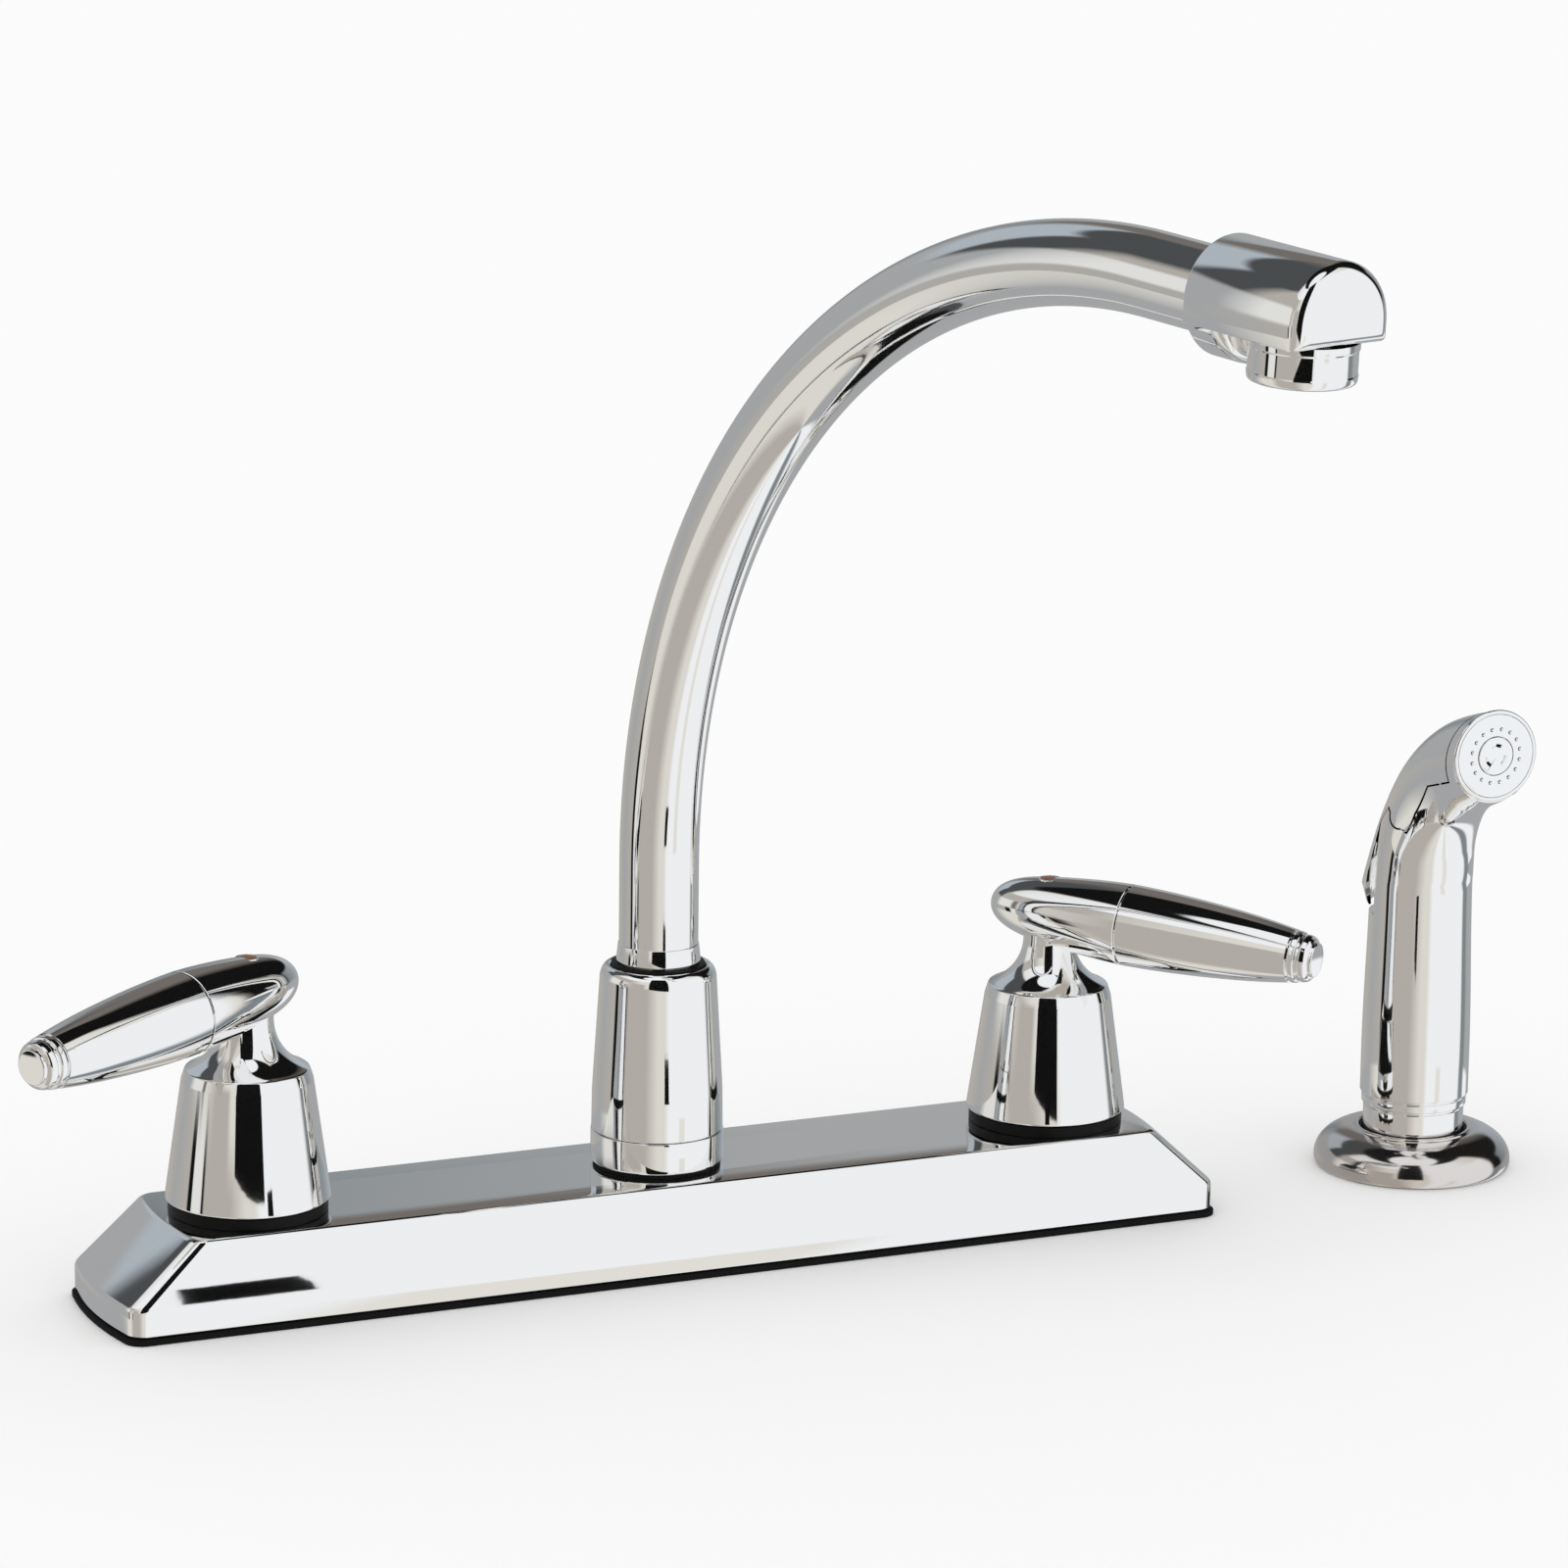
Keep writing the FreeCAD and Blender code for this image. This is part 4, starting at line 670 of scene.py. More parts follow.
# ---- lever grips and caps --------------------------------------------------------------------
# A turned sleeve slides over the root's spigot and a stepped cap screws into its end: a band,
# a groove, a rounded ring and a small flat face.
grip_start = lever_joint + joint_half_gap
grip_outline = [Vector((lever_belly - 1.2 * mm, grip_start - 0.1 * mm)),
                Vector((lever_belly - 0.15 * mm, grip_start - 0.1 * mm))]
for step in range(61):
    place = grip_start + (lever_cap_start - grip_start) * step / 60
    grip_outline.append(Vector((lever_radius(place), place)))
grip_outline.append(Vector((lever_cap_radius - 0.7 * mm, lever_cap_start + 0.05 * mm)))
cap_outline = eased_outline([
    (lever_cap_radius - 0.7 * mm, lever_cap_start - 0.4 * mm, 0),
    (lever_cap_radius - 0.7 * mm, lever_cap_start + 0.6 * mm, 0.1 * mm),
    (lever_cap_radius - 0.1 * mm, lever_cap_start + 0.7 * mm, 0.2 * mm),
    (lever_cap_radius - 0.3 * mm, lever_cap_start + 2.0 * mm, 0.5 * mm),
    (lever_cap_radius - 0.9 * mm, lever_cap_start + 2.2 * mm, 0.1 * mm),
    (lever_cap_radius - 0.95 * mm, lever_cap_start + 2.9 * mm, 0.1 * mm),
    (lever_cap_radius - 0.6 * mm, lever_cap_start + 3.2 * mm, 0.4 * mm),
    (lever_cap_radius - 1.0 * mm, lever_tip - 1.4 * mm, 1.0 * mm),
    (4.5 * mm, lever_tip - 0.9 * mm, 0.3 * mm),
    (4.2 * mm, lever_tip - 0.9 * mm, 0.05 * mm),
    (4.1 * mm, lever_tip, 0.4 * mm),
    (0.0, lever_tip, 0)])
for side in sides:
    body = side + "_handle"
    finish_piece("grip_" + side, lever_piece(grip_outline, side), chrome, body,
                 "lever_grip_" + side)
    finish_piece("cap_" + side, lever_piece(cap_outline, side), chrome, body,
                 "lever_cap_" + side, 35)

# ---- index buttons ---------------------------------------------------------------------------
# A small domed plug, moulded in a dark amber plastic, sits in a round recess over the neck and
# covers the handle screw.
button_radius = 2.3 * mm
button_sink = 0.3 * mm
button_rise = 0.45 * mm
lever_top = lever_height + lever_hub_radius
amber = moulded("index_stone", (0.18, 0.09, 0.05), 0.25, 0.1, 400.0)
for side in sides:
    centre = bell_centres[side]
    rim = eased_outline([(button_radius + 0.05 * mm, lever_top - 1.2 * mm, 0),
                         (button_radius + 0.1 * mm, lever_top - 0.1 * mm, 0.1 * mm),
                         (button_radius + 0.4 * mm, lever_top - 0.15 * mm, 0.1 * mm),
                         (button_radius + 0.5 * mm, lever_top - 0.8 * mm, 0)])
    finish_piece("button_rim_" + side, lathe(rim, centre, segments=64), chrome, side + "_handle")
    dome = [Vector((button_radius * math.cos(step * math.pi / 16),
                    lever_top - button_sink + button_rise * math.sin(step * math.pi / 16)))
            for step in range(9)]
    finish_piece("button_" + side, lathe(dome, centre, segments=64), amber, side + "_handle",
                 "index_button_" + side)
    coat("handle_screw_" + side, zinc_steel)

# ---- spout hub -------------------------------------------------------------------------------
# A chrome base ring stands on a thin black seal, and the long tapered hub screws down on the
# waterway above it.  A black bearing fills the mouth of the hub round the tube.
hub_seal_radius = 15.0 * mm
base_ring_radius = 15.6 * mm
hub_foot_radius = 15.45 * mm
hub_waist_radius = 15.3 * mm
hub_head_radius = 13.7 * mm
hub_shoulder_radius = 11.6 * mm
hub_shoulder_height = 3.4 * mm
hub_waist_height = 9.7 * mm
bearing_radius = 11.0 * mm
tube_radius = 9.27 * mm
seal_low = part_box("hub_seal")[0].z
ring_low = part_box("spout_base_ring")[0].z
hub_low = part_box("spout_hub")[0].z
hub_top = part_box("spout_hub")[1].z
bearing_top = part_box("spout_bearing")[1].z
seal_bm = lathe(ring_outline(hub_seal_radius, neck_radius, seal_low, ring_low, 0.2 * mm))
finish_piece("seal_ring", seal_bm, black_rubber, "root", "hub_seal")
base_bm = lathe(eased_outline([(neck_radius, ring_low, 0),
                               (base_ring_radius, ring_low, 0.7 * mm),
                               (base_ring_radius, hub_low - 0.05 * mm, 0.3 * mm),
                               (neck_radius, hub_low - 0.05 * mm, 0)]))
finish_piece("base_ring", base_bm, chrome, "root", "spout_base_ring")
hub_outline = eased_outline([
    (neck_radius, hub_low + 0.05 * mm, 0),
    (hub_foot_radius, hub_low + 0.05 * mm, 0.25 * mm),
    (hub_waist_radius, hub_low + hub_waist_height, 30 * mm),
    (hub_head_radius, hub_top - hub_shoulder_height, 0.1 * mm)])
for step in range(1, 13):
    turn = math.pi / 2 * step / 12
    hub_outline.append(Vector((
        hub_shoulder_radius + (hub_head_radius - hub_shoulder_radius) * math.cos(turn),
        hub_top - hub_shoulder_height * (1 - math.sin(turn)))))
hub_outline.append(Vector((11.2 * mm, hub_top - 0.2 * mm)))
hub_outline.append(Vector((10.9 * mm, hub_top - 1.2 * mm)))
finish_piece("hub", lathe(hub_outline), chrome, "root", "spout_hub")
bearing_bm = lathe(eased_outline([(tube_radius, hub_top - 1.4 * mm, 0),
                                  (bearing_radius, hub_top - 1.4 * mm, 0),
                                  (bearing_radius, bearing_top - 0.3 * mm, 0.3 * mm),
                                  (tube_radius + 0.05 * mm, bearing_top - 0.1 * mm, 0)]))
finish_piece("bearing", bearing_bm, black_plastic, "root", "spout_bearing")

# ---- spout tube and collar -------------------------------------------------------------------
# A three quarter inch brass tube, bent to a tall arch, polished and plated.  A short collar at
# its foot rests on the bearing.
arch_start = 95.4 * mm
arch_radius = 160.5 * mm
arch_turn = math.radians(92.9)
arch_run = 17.7 * mm
head_start = 5.0 * mm
tube_depth = 10.0 * mm
spout_azimuth = math.radians(14.43)
tube_around = 96
arch_steps = 120
spout_turn = Matrix.Rotation(spout_azimuth, 4, "Z")


def spout_line():
    """Points and directions up the riser, round the arch and on into the head."""
    line = []
    for step in range(9):
        height = hub_top - 2 * mm + (arch_start - hub_top + 2 * mm) * step / 8
        line.append((Vector((0, 0, height)), Vector((0, 0, 1))))
    for step in range(1, arch_steps + 1):
        turn = arch_turn * step / arch_steps
        spot = Vector((0, -arch_radius * (1 - math.cos(turn)),
                       arch_start + arch_radius * math.sin(turn)))
        line.append((spot, Vector((0, -math.sin(turn), math.cos(turn)))))
    end, ahead = line[-1]
    for run in (arch_run * 0.5, arch_run, arch_run + head_start + tube_depth):
        line.append((end + ahead * run, ahead))
    return line


def swept(line, radius, segments):
    """A round tube along a line in the spout's upright plane, turned to its place at rest."""
    bm = bmesh.new()
    across = Vector((1, 0, 0))
    turns = [2 * math.pi * number / segments for number in range(segments)]
    rings = []
    for spot, ahead in line:
        above = ahead.cross(across)
        rings.append([spout_turn @ (spot + across * radius * math.cos(turn)
                                    + above * radius * math.sin(turn)) for turn in turns])
    bridge(bm, rings)
    return bm


finish_piece("gooseneck", swept(spout_line(), tube_radius, tube_around), chrome, "spout",
             "spout_tube")
collar_low, collar_high = (corner.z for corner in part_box("tube_collar"))
collar_bm = lathe(eased_outline([(tube_radius - 0.1 * mm, collar_low, 0),
                                 (9.9 * mm, collar_low, 0.2 * mm),
                                 (9.45 * mm, collar_high - 0.1 * mm, 0.2 * mm),
                                 (tube_radius - 0.1 * mm, collar_high, 0)]))
finish_piece("collar", collar_bm, chrome, "spout", "tube_collar")
coat("spout_foot", turned_brass)
coat("spout_o_rings", black_rubber)

# ---- spout head ------------------------------------------------------------------------------
# A cast hood over the end of the tube: domed top, upright cheeks, flat underside, an eased nose
# and a round socket behind, with a black ring in the joint with the tube as painted shadow.
head_radius = 13.06 * mm
head_below = 4.64 * mm
head_length = 34.9 * mm
nose_ease = 3.2 * mm
socket_radius = 12.8 * mm
socket_length = 11.0 * mm
reach = arch_radius * (1 - math.cos(arch_turn)) + arch_run * math.sin(arch_turn)
rise = arch_start + arch_radius * math.sin(arch_turn) + arch_run * math.cos(arch_turn)
head_place = (spout_turn @ Matrix.Translation((0, -reach, rise))
              @ Matrix.Rotation(arch_turn - math.pi / 2, 4, "X")
              @ Matrix.Rotation(math.pi, 4, "Z"))


def to_head(bm):
    bmesh.ops.transform(bm, matrix=head_place, verts=bm.verts)
    return bm


def hood_ring(inset, along):
    """Section of the hood: a half circle on upright cheeks, drawn in by an inset."""
    radius = head_radius - inset
    low = -head_below + inset
    ease = min(0.6 * mm, radius)
    spots = []
    for step in range(49):
        turn = math.pi * step / 48
        spots.append(Vector((radius * math.cos(turn), along, radius * math.sin(turn))))
    cheek = [Vector((-radius, along, low + ease)),
             Vector((-radius + ease * 0.3, along, low + ease * 0.3)),
             Vector((-radius + ease, along, low))]
    spots += cheek
    for step in range(1, 16):
        share = step / 16
        spots.append(Vector(((radius - ease) * (2 * share - 1), along, low)))
    spots += [Vector((-spot.x, spot.y, spot.z)) for spot in reversed(cheek)]
    return spots


nose = head_start + head_length
hood_rings = [hood_ring(3.2 * mm, head_start + 0.3 * mm), hood_ring(0.5 * mm, head_start),
              hood_ring(0.15 * mm, head_start + 0.15 * mm), hood_ring(0.0, head_start + 0.5 * mm)]
for step in range(11):
    turn = math.pi / 2 * step / 10
    hood_rings.append(hood_ring(nose_ease * (1 - math.cos(turn)),
                                nose - nose_ease * (1 - math.sin(turn))))
hood_bm = bmesh.new()
hood_made = bridge(hood_bm, hood_rings)
hood_bm.faces.new(hood_made[-1])
finish_piece("hood", to_head(hood_bm), chrome, "spout", "spout_head", 35)


def along_lathe(outline):
    """A turned mesh about the tube's line in the head: (radius, distance along)."""
    bm = lathe(outline)
    bmesh.ops.transform(bm, matrix=Matrix.Rotation(-math.pi / 2, 4, "X"), verts=bm.verts)
    return to_head(bm)


boss_outline = eased_outline([(tube_radius, head_start + 0.1 * mm, 0),
                              (socket_radius, head_start + 0.1 * mm, 0.5 * mm),
                              (socket_radius, head_start + socket_length, 3.5 * mm),
                              (0.0, head_start + socket_length + 0.5 * mm, 0)], 10)
finish_piece("socket", along_lathe(boss_outline), chrome, "spout")
# A black ring round the tube at the socket's mouth: painted shadow in the joint between head and
# tube.
shadow_ring_outline = eased_outline([(tube_radius, head_start - 0.8 * mm, 0),
                              (tube_radius + 1.1 * mm, head_start - 0.7 * mm, 0.3 * mm),
                              (tube_radius + 1.1 * mm, head_start + 0.1 * mm, 0)])
finish_piece("socket_shadow_ring", along_lathe(shadow_ring_outline), black_rubber, "spout", "head_seal")

# ---- aerator ---------------------------------------------------------------------------------
# A chrome cup with a shallow recessed band screws up into the head.  Inside its mouth sits a
# white plastic strainer with a seal above it.
aerator_place = 28.0 * mm
aerator_radius = 11.6 * mm
aerator_drop = 8.8 * mm
band_depth = 0.25 * mm
cup_mouth_radius = 9.2 * mm
cup_around = 288
cup_low = -head_below - aerator_drop


def to_aerator(bm):
    bmesh.ops.transform(bm, matrix=Matrix.Translation((0, aerator_place, 0)), verts=bm.verts)
    return to_head(bm)


cup_outline = eased_outline([
    (cup_mouth_radius, cup_low + 3.5 * mm, 0),
    (cup_mouth_radius, cup_low + 0.9 * mm, 0.2 * mm),
    (cup_mouth_radius - 0.3 * mm, cup_low, 0.3 * mm),
    (aerator_radius - 0.3 * mm, cup_low, 1.2 * mm),
    (aerator_radius - 0.1 * mm, cup_low + 2.0 * mm, 0.2 * mm),
    (aerator_radius - band_depth, cup_low + 2.3 * mm, 0.1 * mm),
    (aerator_radius - band_depth, cup_low + 7.0 * mm, 0.1 * mm),
    (aerator_radius, cup_low + 7.4 * mm, 0.2 * mm),
    (aerator_radius, -head_below + 0.1 * mm, 0), (10.4 * mm, -head_below + 0.1 * mm, 0)])
cup_bm = to_aerator(lathe(cup_outline, segments=cup_around))
finish_piece("aerator_cup", cup_bm, chrome, "spout", "aerator_housing")
coat("aerator_insert", moulded("white_strainer", (0.78, 0.78, 0.75), 0.45, 0.2, 800.0))
coat("aerator_seal", black_rubber)

# ---- side spray guide ------------------------------------------------------------------------
# A domed chrome flange on the deck guides the spray, with a threaded shank and a nylon nut below
# the sink.  A black liner in its mouth keeps the spray from rattling.
spray_centre = middle("spray_guide")
guide_top = 10.0 * mm
guide_lip_radius = 14.6 * mm
guide_radius = 24.2 * mm
guide_shank = 14.3 * mm
liner_outer = 13.3 * mm
liner_inner = 12.6 * mm
belly_height = 2.0 * mm
belly_tuck = 1.2 * mm
dome_power = 0.95
guide_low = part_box("spray_guide")[0].z
guide_outline = [Vector((liner_outer, guide_low)), Vector((guide_shank - 0.4 * mm, guide_low)),
                 Vector((guide_shank, guide_low + 0.4 * mm)), Vector((guide_shank, -0.4 * mm)),
                 Vector((guide_shank, 0.0))]
for step in range(9):
    turn = math.pi / 2 * (step / 8 - 1)
    guide_outline.append(Vector((guide_radius - belly_tuck * (1 - math.cos(turn)),
                                 belly_height * (1 + math.sin(turn)))))
for step in range(1, 29):
    turn = math.pi / 2 * step / 28
    guide_outline.append(Vector((
        guide_lip_radius + (guide_radius - guide_lip_radius) * math.cos(turn) ** dome_power,
        belly_height + (guide_top - belly_height - 0.5 * mm) * math.sin(turn))))
guide_outline += eased_outline([(guide_lip_radius - 0.1 * mm, guide_top - 0.5 * mm, 0),
                                (guide_lip_radius - 0.3 * mm, guide_top, 0.35 * mm),
                                (liner_outer, guide_top, 0.35 * mm),
                                (liner_outer, guide_top - 3 * mm, 0)])
# Satin chrome, rougher than the plate; its darker, warmer tint is painted reflection, standing
# for the darker surroundings that the dome mirrors.
satin_chrome_painted_dark_reflection = plated("satin_chrome_painted_dark_reflection", (0.76, 0.72, 0.69), 0.10, 0.02)
finish_piece("guide_dome", lathe(guide_outline, spray_centre, closed=True), satin_chrome_painted_dark_reflection, "root",
             "spray_guide")
liner_low, liner_top = (corner.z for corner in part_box("guide_liner"))
coupling_radius = 9.4 * mm
ledge = 3.7 * mm
liner_bm = lathe(eased_outline([(liner_outer, liner_low, 0), (liner_outer, liner_top, 0.2 * mm),
                                (liner_inner, liner_top, 0.2 * mm), (liner_inner, ledge, 0),
                                (coupling_radius + 1.6 * mm, ledge, 0),
                                (coupling_radius + 1.6 * mm, liner_low, 0)]),
                 spray_centre, closed=True)
finish_piece("liner_ring", liner_bm, black_plastic, "root", "guide_liner")
coat("spray_locknut", black_plastic)
coat("hose_coupling", turned_brass)
coat("coupling_washer", black_rubber)

# ---- side spray body -------------------------------------------------------------------------
# The spray is moulded in plastic and chrome plated.  The round grip has two grooves near its foot
# and bends forward into the head.  The back of the head is left open for the thumb lever.
spray_seat = 4.0 * mm
spray_radius = 12.35 * mm
spray_shoulder = 13.3 * mm
groove_height = 15.8 * mm
groove_pitch = 2.7 * mm
groove_ease = 0.16 * mm
groove_half = 0.45 * mm
groove_floor = 0.25 * mm
shoulder_height = 30.0 * mm
core_foot = 62.0 * mm
face_radius = 10.2 * mm
face_depth = 2.0 * mm
core_depth = 3.0 * mm
lever_clearance = 0.6 * mm
seam_gap = 0.45 * mm
spray_around = 144
steps_between = 14
# Stations of the bend: distance forward, height, tilt in degrees, radius.
bend_stations = [(0.0, 73.0, 0.0, 12.5), (2.6, 86.0, 24.0, 11.9), (9.6, 97.2, 44.0, 11.3),
                 (20.0, 105.3, 64.0, 11.2), (33.8, 110.9, 90.0, 11.25)]
neck_bend = bend_stations[0][1] * mm
neck_radius_low = bend_stations[0][3] * mm
head_front = bend_stations[-1][0] * mm
head_height = bend_stations[-1][1] * mm
rim_radius = bend_stations[-1][3] * mm


def bend_ring(station, radius):
    """A ring of points round the spray, tilted forward with the bend."""
    forward, height, tilt = station[0] * mm, station[1] * mm, math.radians(station[2])
    ring = []
    for number in range(spray_around):
        turn = 2 * math.pi * number / spray_around
        across = radius * math.cos(turn)
        back = radius * math.sin(turn)
        ring.append(Vector((spray_centre[0] + across, -forward + back * math.cos(tilt),
                            height + back * math.sin(tilt))))
    return ring


def smooth_stations(stations):
    """More stations between the given ones, on a curve that passes smoothly through them all."""
    made = []
    for number in range(len(stations) - 1):
        first, last = stations[number], stations[number + 1]
        before = stations[max(number - 1, 0)]
        after = stations[min(number + 2, len(stations) - 1)]
        for step in range(steps_between):
            share = step / steps_between
            station = []
            for item in range(4):
                start_slope = (last[item] - before[item]) / (2 if number > 0 else 1)
                end_slope = ((after[item] - first[item])
                             / (2 if number + 2 < len(stations) else 1))
                station.append(first[item] * (2 * share ** 3 - 3 * share ** 2 + 1)
                               + start_slope * (share ** 3 - 2 * share ** 2 + share)
                               + last[item] * (3 * share ** 2 - 2 * share ** 3)
                               + end_slope * (share ** 3 - share ** 2))
            made.append(tuple(station))
    made.append(stations[-1])
    return made


def closed_form(rings):
    """A solid through rings, with a flat end at each side."""
    bm = bmesh.new()
    made = bridge(bm, rings)
    bm.faces.new(made[0])
    bm.faces.new(made[-1])
    bmesh.ops.recalc_face_normals(bm, faces=bm.faces)
    return bm


def upright(radius, height):
    return bend_ring((0.0, height / mm, 0.0, 0.0), radius)


def front_on(radius, place):
    """A ring of the head, upright across the way it sprays."""
    return bend_ring((place / mm, head_height / mm, 90.0, 0.0), radius)


grip_corners = [(spray_radius - 1.0 * mm, spray_seat, 0), (spray_radius, spray_seat, 0.4 * mm)]
grip_radius = spray_radius
for height, above in ((groove_height, spray_radius + 0.5 * mm),
                      (groove_height + groove_pitch, spray_shoulder)):
    grip_corners += [(grip_radius, height - groove_half, groove_ease),
                     (grip_radius - groove_half, height - groove_floor, groove_ease),
                     (grip_radius - groove_half, height + groove_floor, groove_ease),
                     (above, height + groove_half, groove_ease)]
    grip_radius = above
grip_corners.append((spray_shoulder, shoulder_height, 0))
skin_rings = [upright(spot.x, spot.y) for spot in eased_outline(grip_corners)]
for step in range(1, 25):
    share = step / 24
    ease = share * share * (3 - 2 * share)
    skin_rings.append(upright(spray_shoulder + (neck_radius_low - spray_shoulder) * ease,
                              shoulder_height + (neck_bend - shoulder_height) * share))
stations = smooth_stations(bend_stations)
skin_rings += [bend_ring(station, station[3] * mm) for station in stations[1:-1]]
for step in range(7):
    turn = math.pi / 2 * step / 6
    skin_rings.append(front_on(rim_radius - 0.5 * mm * (1 - math.cos(turn)),
                               head_front - 0.5 * mm * (1 - math.sin(turn))))
skin_rings += [front_on(face_radius + 0.1 * mm, head_front),
               front_on(face_radius + 0.05 * mm, head_front - 0.1 * mm),
               front_on(face_radius + 0.05 * mm, head_front - face_depth)]
lever_edge = 1.6 * mm
lever_edge_lean = 2.0 * mm
lever_end = 66.4 * mm
pivot_forward = 7.0 * mm
pivot_height = 91.0 * mm
lever_corner = pivot_height - 3.0 * mm
ear_radius = 3.0 * mm
slit_width = 4.0 * mm
press_room = 2.0 * mm
far_back = 40.0 * mm
far_up = 145.0 * mm
far_aside = 20.0 * mm
joint_line = [(lever_edge + lever_edge_lean, lever_end), (lever_edge, lever_corner),
              (lever_edge - 4 * mm, lever_corner + 4.5 * mm),
              (-pivot_forward - 2.5 * mm, lever_corner - 0.5 * mm),
              (-pivot_forward - 6 * mm, lever_corner + 5 * mm),
              (-head_front + 13.8 * mm, head_height - 9.4 * mm),
              (-head_front + 4.5 * mm, head_height - 6.4 * mm), (-head_front + 4.5 * mm, far_up),
              (far_back, far_up), (far_back, lever_end)]


def moved_out(corners, gap):
    """The same outline in side view with every edge moved outward by a gap."""
    made = []
    count = len(corners)
    for number in range(count):
        before = Vector(corners[number - 1])
        here = Vector(corners[number])
        after = Vector(corners[(number + 1) % count])
        first = (here - before).normalized()
        last = (after - here).normalized()
        first_side = Vector((-first.y, first.x))
        last_side = Vector((-last.y, last.x))
        middle_side = (first_side + last_side).normalized()
        made.append(here + middle_side * gap / max(0.3, middle_side.dot(last_side)))
    return made


def side_block(corners):
    """A block across the spray, drawn in side view as (distance back, height)."""
    return closed_form([[Vector((spray_centre[0] + across, back, height))
                         for back, height in corners] for across in (-far_aside, far_aside)])


def across_bar(radius):
    """A round bar across the head on the lever's pin."""
    bm = bmesh.new()
    add_bar(bm, radius, -1.1 * far_aside, 1.1 * far_aside, segments=64)
    place = Matrix.Translation((spray_centre[0], -pivot_forward, pivot_height))
    bmesh.ops.transform(bm, matrix=place @ Matrix.Rotation(math.pi / 2, 4, "Y"), verts=bm.verts)
    return merged(bm)


notch = lever_end - press_room
slit_front = lever_edge - lever_clearance
open_back = moved_out(joint_line, seam_gap)
open_back[0].y = notch
open_back[-1].y = notch
slit_back = slit_front + slit_width
slit = [(slit_front, notch), (slit_front, lever_corner), (slit_back, lever_corner),
        (slit_back, notch)]
skin_bm = carved(closed_form(skin_rings), ("DIFFERENCE", side_block(open_back)),
                 ("DIFFERENCE", side_block(slit)),
                 ("DIFFERENCE", across_bar(ear_radius + seam_gap)))
plunger_low, plunger_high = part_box("valve_plunger")
channel = bmesh.new()
bmesh.ops.create_cube(channel, size=1.0)
channel_size = plunger_high - plunger_low + Vector((1, 8, 1)) * mm
bmesh.ops.scale(channel, vec=channel_size, verts=channel.verts)
bmesh.ops.translate(channel, vec=(plunger_low + plunger_high) / 2 - Vector((0, 3, 0)) * mm,
                    verts=channel.verts)
skin_bm = carved(skin_bm, ("DIFFERENCE", channel))
finish_piece("spray_skin", skin_bm, chrome, "spray", "spray_body", 28)
core_rings = [upright(neck_radius_low - core_depth, core_foot)]
core_rings += [bend_ring(station, station[3] * mm - core_depth) for station in stations]
core_rings[-1] = front_on(rim_radius - core_depth, head_front - face_depth - 0.5 * mm)
finish_piece("spray_core", closed_form(core_rings), chrome, "spray")
coat("lever_pin", zinc_steel)
coat("valve_plunger", black_plastic)

# ---- thumb lever -----------------------------------------------------------------------------
# A chrome plated shell over the back and top of the head.  It pivots on a pin through its two
# ears, and its proud lower end takes the thumb.
tip_height = 71.5 * mm
tip_radius = 14.5 * mm
end_radius = 12.9 * mm
lever_wall = 1.5 * mm
lever_stations = [(0.0, tip_height / mm, 0.0, tip_radius / mm)] + bend_stations[1:]
over_lever = smooth_stations(lever_stations)
outer_rings = [upright(end_radius, lever_end),
               upright(end_radius + 0.35 * mm, lever_end + 0.5 * mm),
               upright(tip_radius - 0.2 * mm, tip_height - 0.7 * mm),
               upright(tip_radius - 0.02 * mm, tip_height - 0.2 * mm)]
outer_rings += [bend_ring(station, station[3] * mm) for station in over_lever[1:]]
inner_rings = [upright(end_radius - 0.6 * mm, lever_end),
               upright(tip_radius - lever_wall, tip_height)]
inner_rings += [bend_ring(station, station[3] * mm - lever_wall) for station in over_lever[1:]]
shell_bm = bmesh.new()
bridge(shell_bm, outer_rings + inner_rings[::-1] + outer_rings[:1])
lever_area = carved(side_block(joint_line), ("UNION", across_bar(ear_radius)))
lever_bm = carved(merged(shell_bm), ("INTERSECT", merged(lever_area)))
finish_piece("lever_shell", lever_bm, chrome, "spray_lever", "thumb_lever", 28)

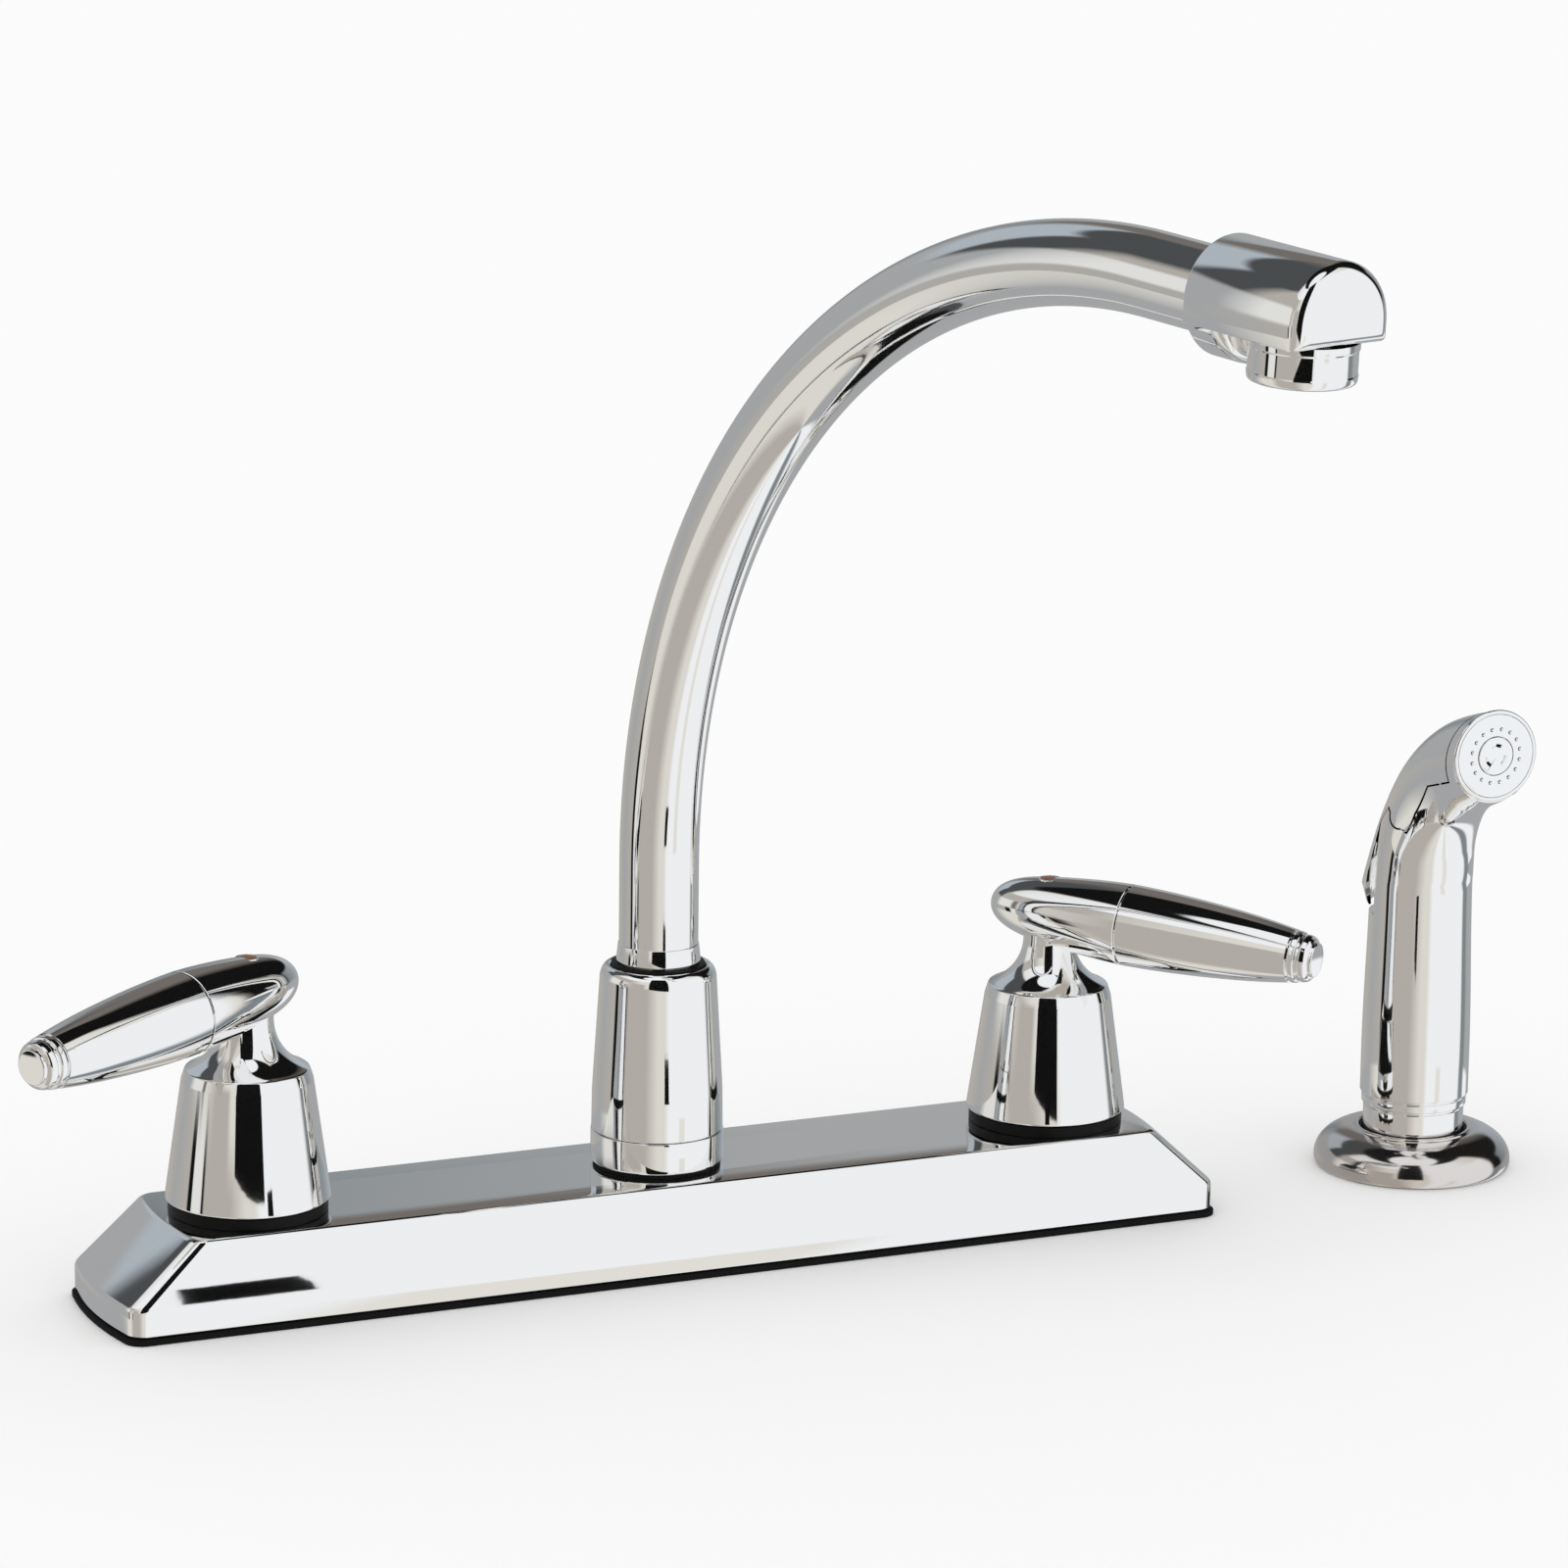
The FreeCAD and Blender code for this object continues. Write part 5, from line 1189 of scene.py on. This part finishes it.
# ---- spray face ------------------------------------------------------------------------------
# A bright disc closes the front of the head.  Water leaves by a ring of small holes and by three
# curved slots in the plug at its middle.
face_thickness = 1.7 * mm
plug_radius = 4.7 * mm
hole_ring_radius = 6.6 * mm
hole_radius = 0.5 * mm
hole_depth = 1.2 * mm
hole_count = 16
slot_count = 3
slot_depth = 1.0 * mm
slot_start = math.radians(60)
slot_sweep = math.radians(60)
face_place = Matrix.Translation((spray_centre[0], -head_front, head_height))
bright_plate = plated("bright_face", (0.95, 0.95, 0.945), 0.05, 0.03)


def to_face(bm):
    """Turns a piece drawn upright, with its front up, to face the way the head sprays."""
    bmesh.ops.transform(bm, matrix=face_place @ Matrix.Rotation(math.pi / 2, 4, "X"),
                        verts=bm.verts)
    return bm


face_bm = lathe(eased_outline([(plug_radius + 0.12 * mm, -face_thickness, 0),
                               (plug_radius + 0.12 * mm, 0, 0.12 * mm),
                               (face_radius - 0.02 * mm, 0, 0.15 * mm),
                               (face_radius - 0.02 * mm, -face_thickness, 0)]),
                closed=True, segments=128)
holes_bm = bmesh.new()
for number in range(hole_count):
    turn = 2 * math.pi * (number + 0.5) / hole_count
    add_bar(holes_bm, hole_radius, -hole_depth, hole_depth, hole_ring_radius * math.cos(turn),
            hole_ring_radius * math.sin(turn), 24)
face_bm = carved(merged(face_bm), ("DIFFERENCE", holes_bm))
finish_piece("spray_disc", to_face(face_bm), bright_plate, "spray", "spray_face")
plug_bm = lathe(eased_outline([(0.0, -face_thickness, 0),
                               (plug_radius - 0.03 * mm, -face_thickness, 0),
                               (plug_radius - 0.03 * mm, 0.15 * mm, 0.3 * mm),
                               (0.0, 0.2 * mm, 0)]), segments=96)
slot_corners = [(3.0 * mm, step / 8) for step in range(9)]
slot_corners += [(2.2 * mm, step / 8) for step in range(8, -1, -1)]
slots = []
for number in range(slot_count):
    layers = []
    for height in (-slot_depth, slot_depth):
        layers.append([])
        for radius, share in slot_corners:
            turn = 2 * math.pi * number / slot_count + slot_start + slot_sweep * share
            layers[-1].append(Vector((radius * math.cos(turn), radius * math.sin(turn), height)))
    slots.append(("DIFFERENCE", closed_form(layers)))
plug_bm = carved(merged(plug_bm), *slots)
finish_piece("spray_plug", to_face(plug_bm), bright_plate, "spray", "spray_nozzle")
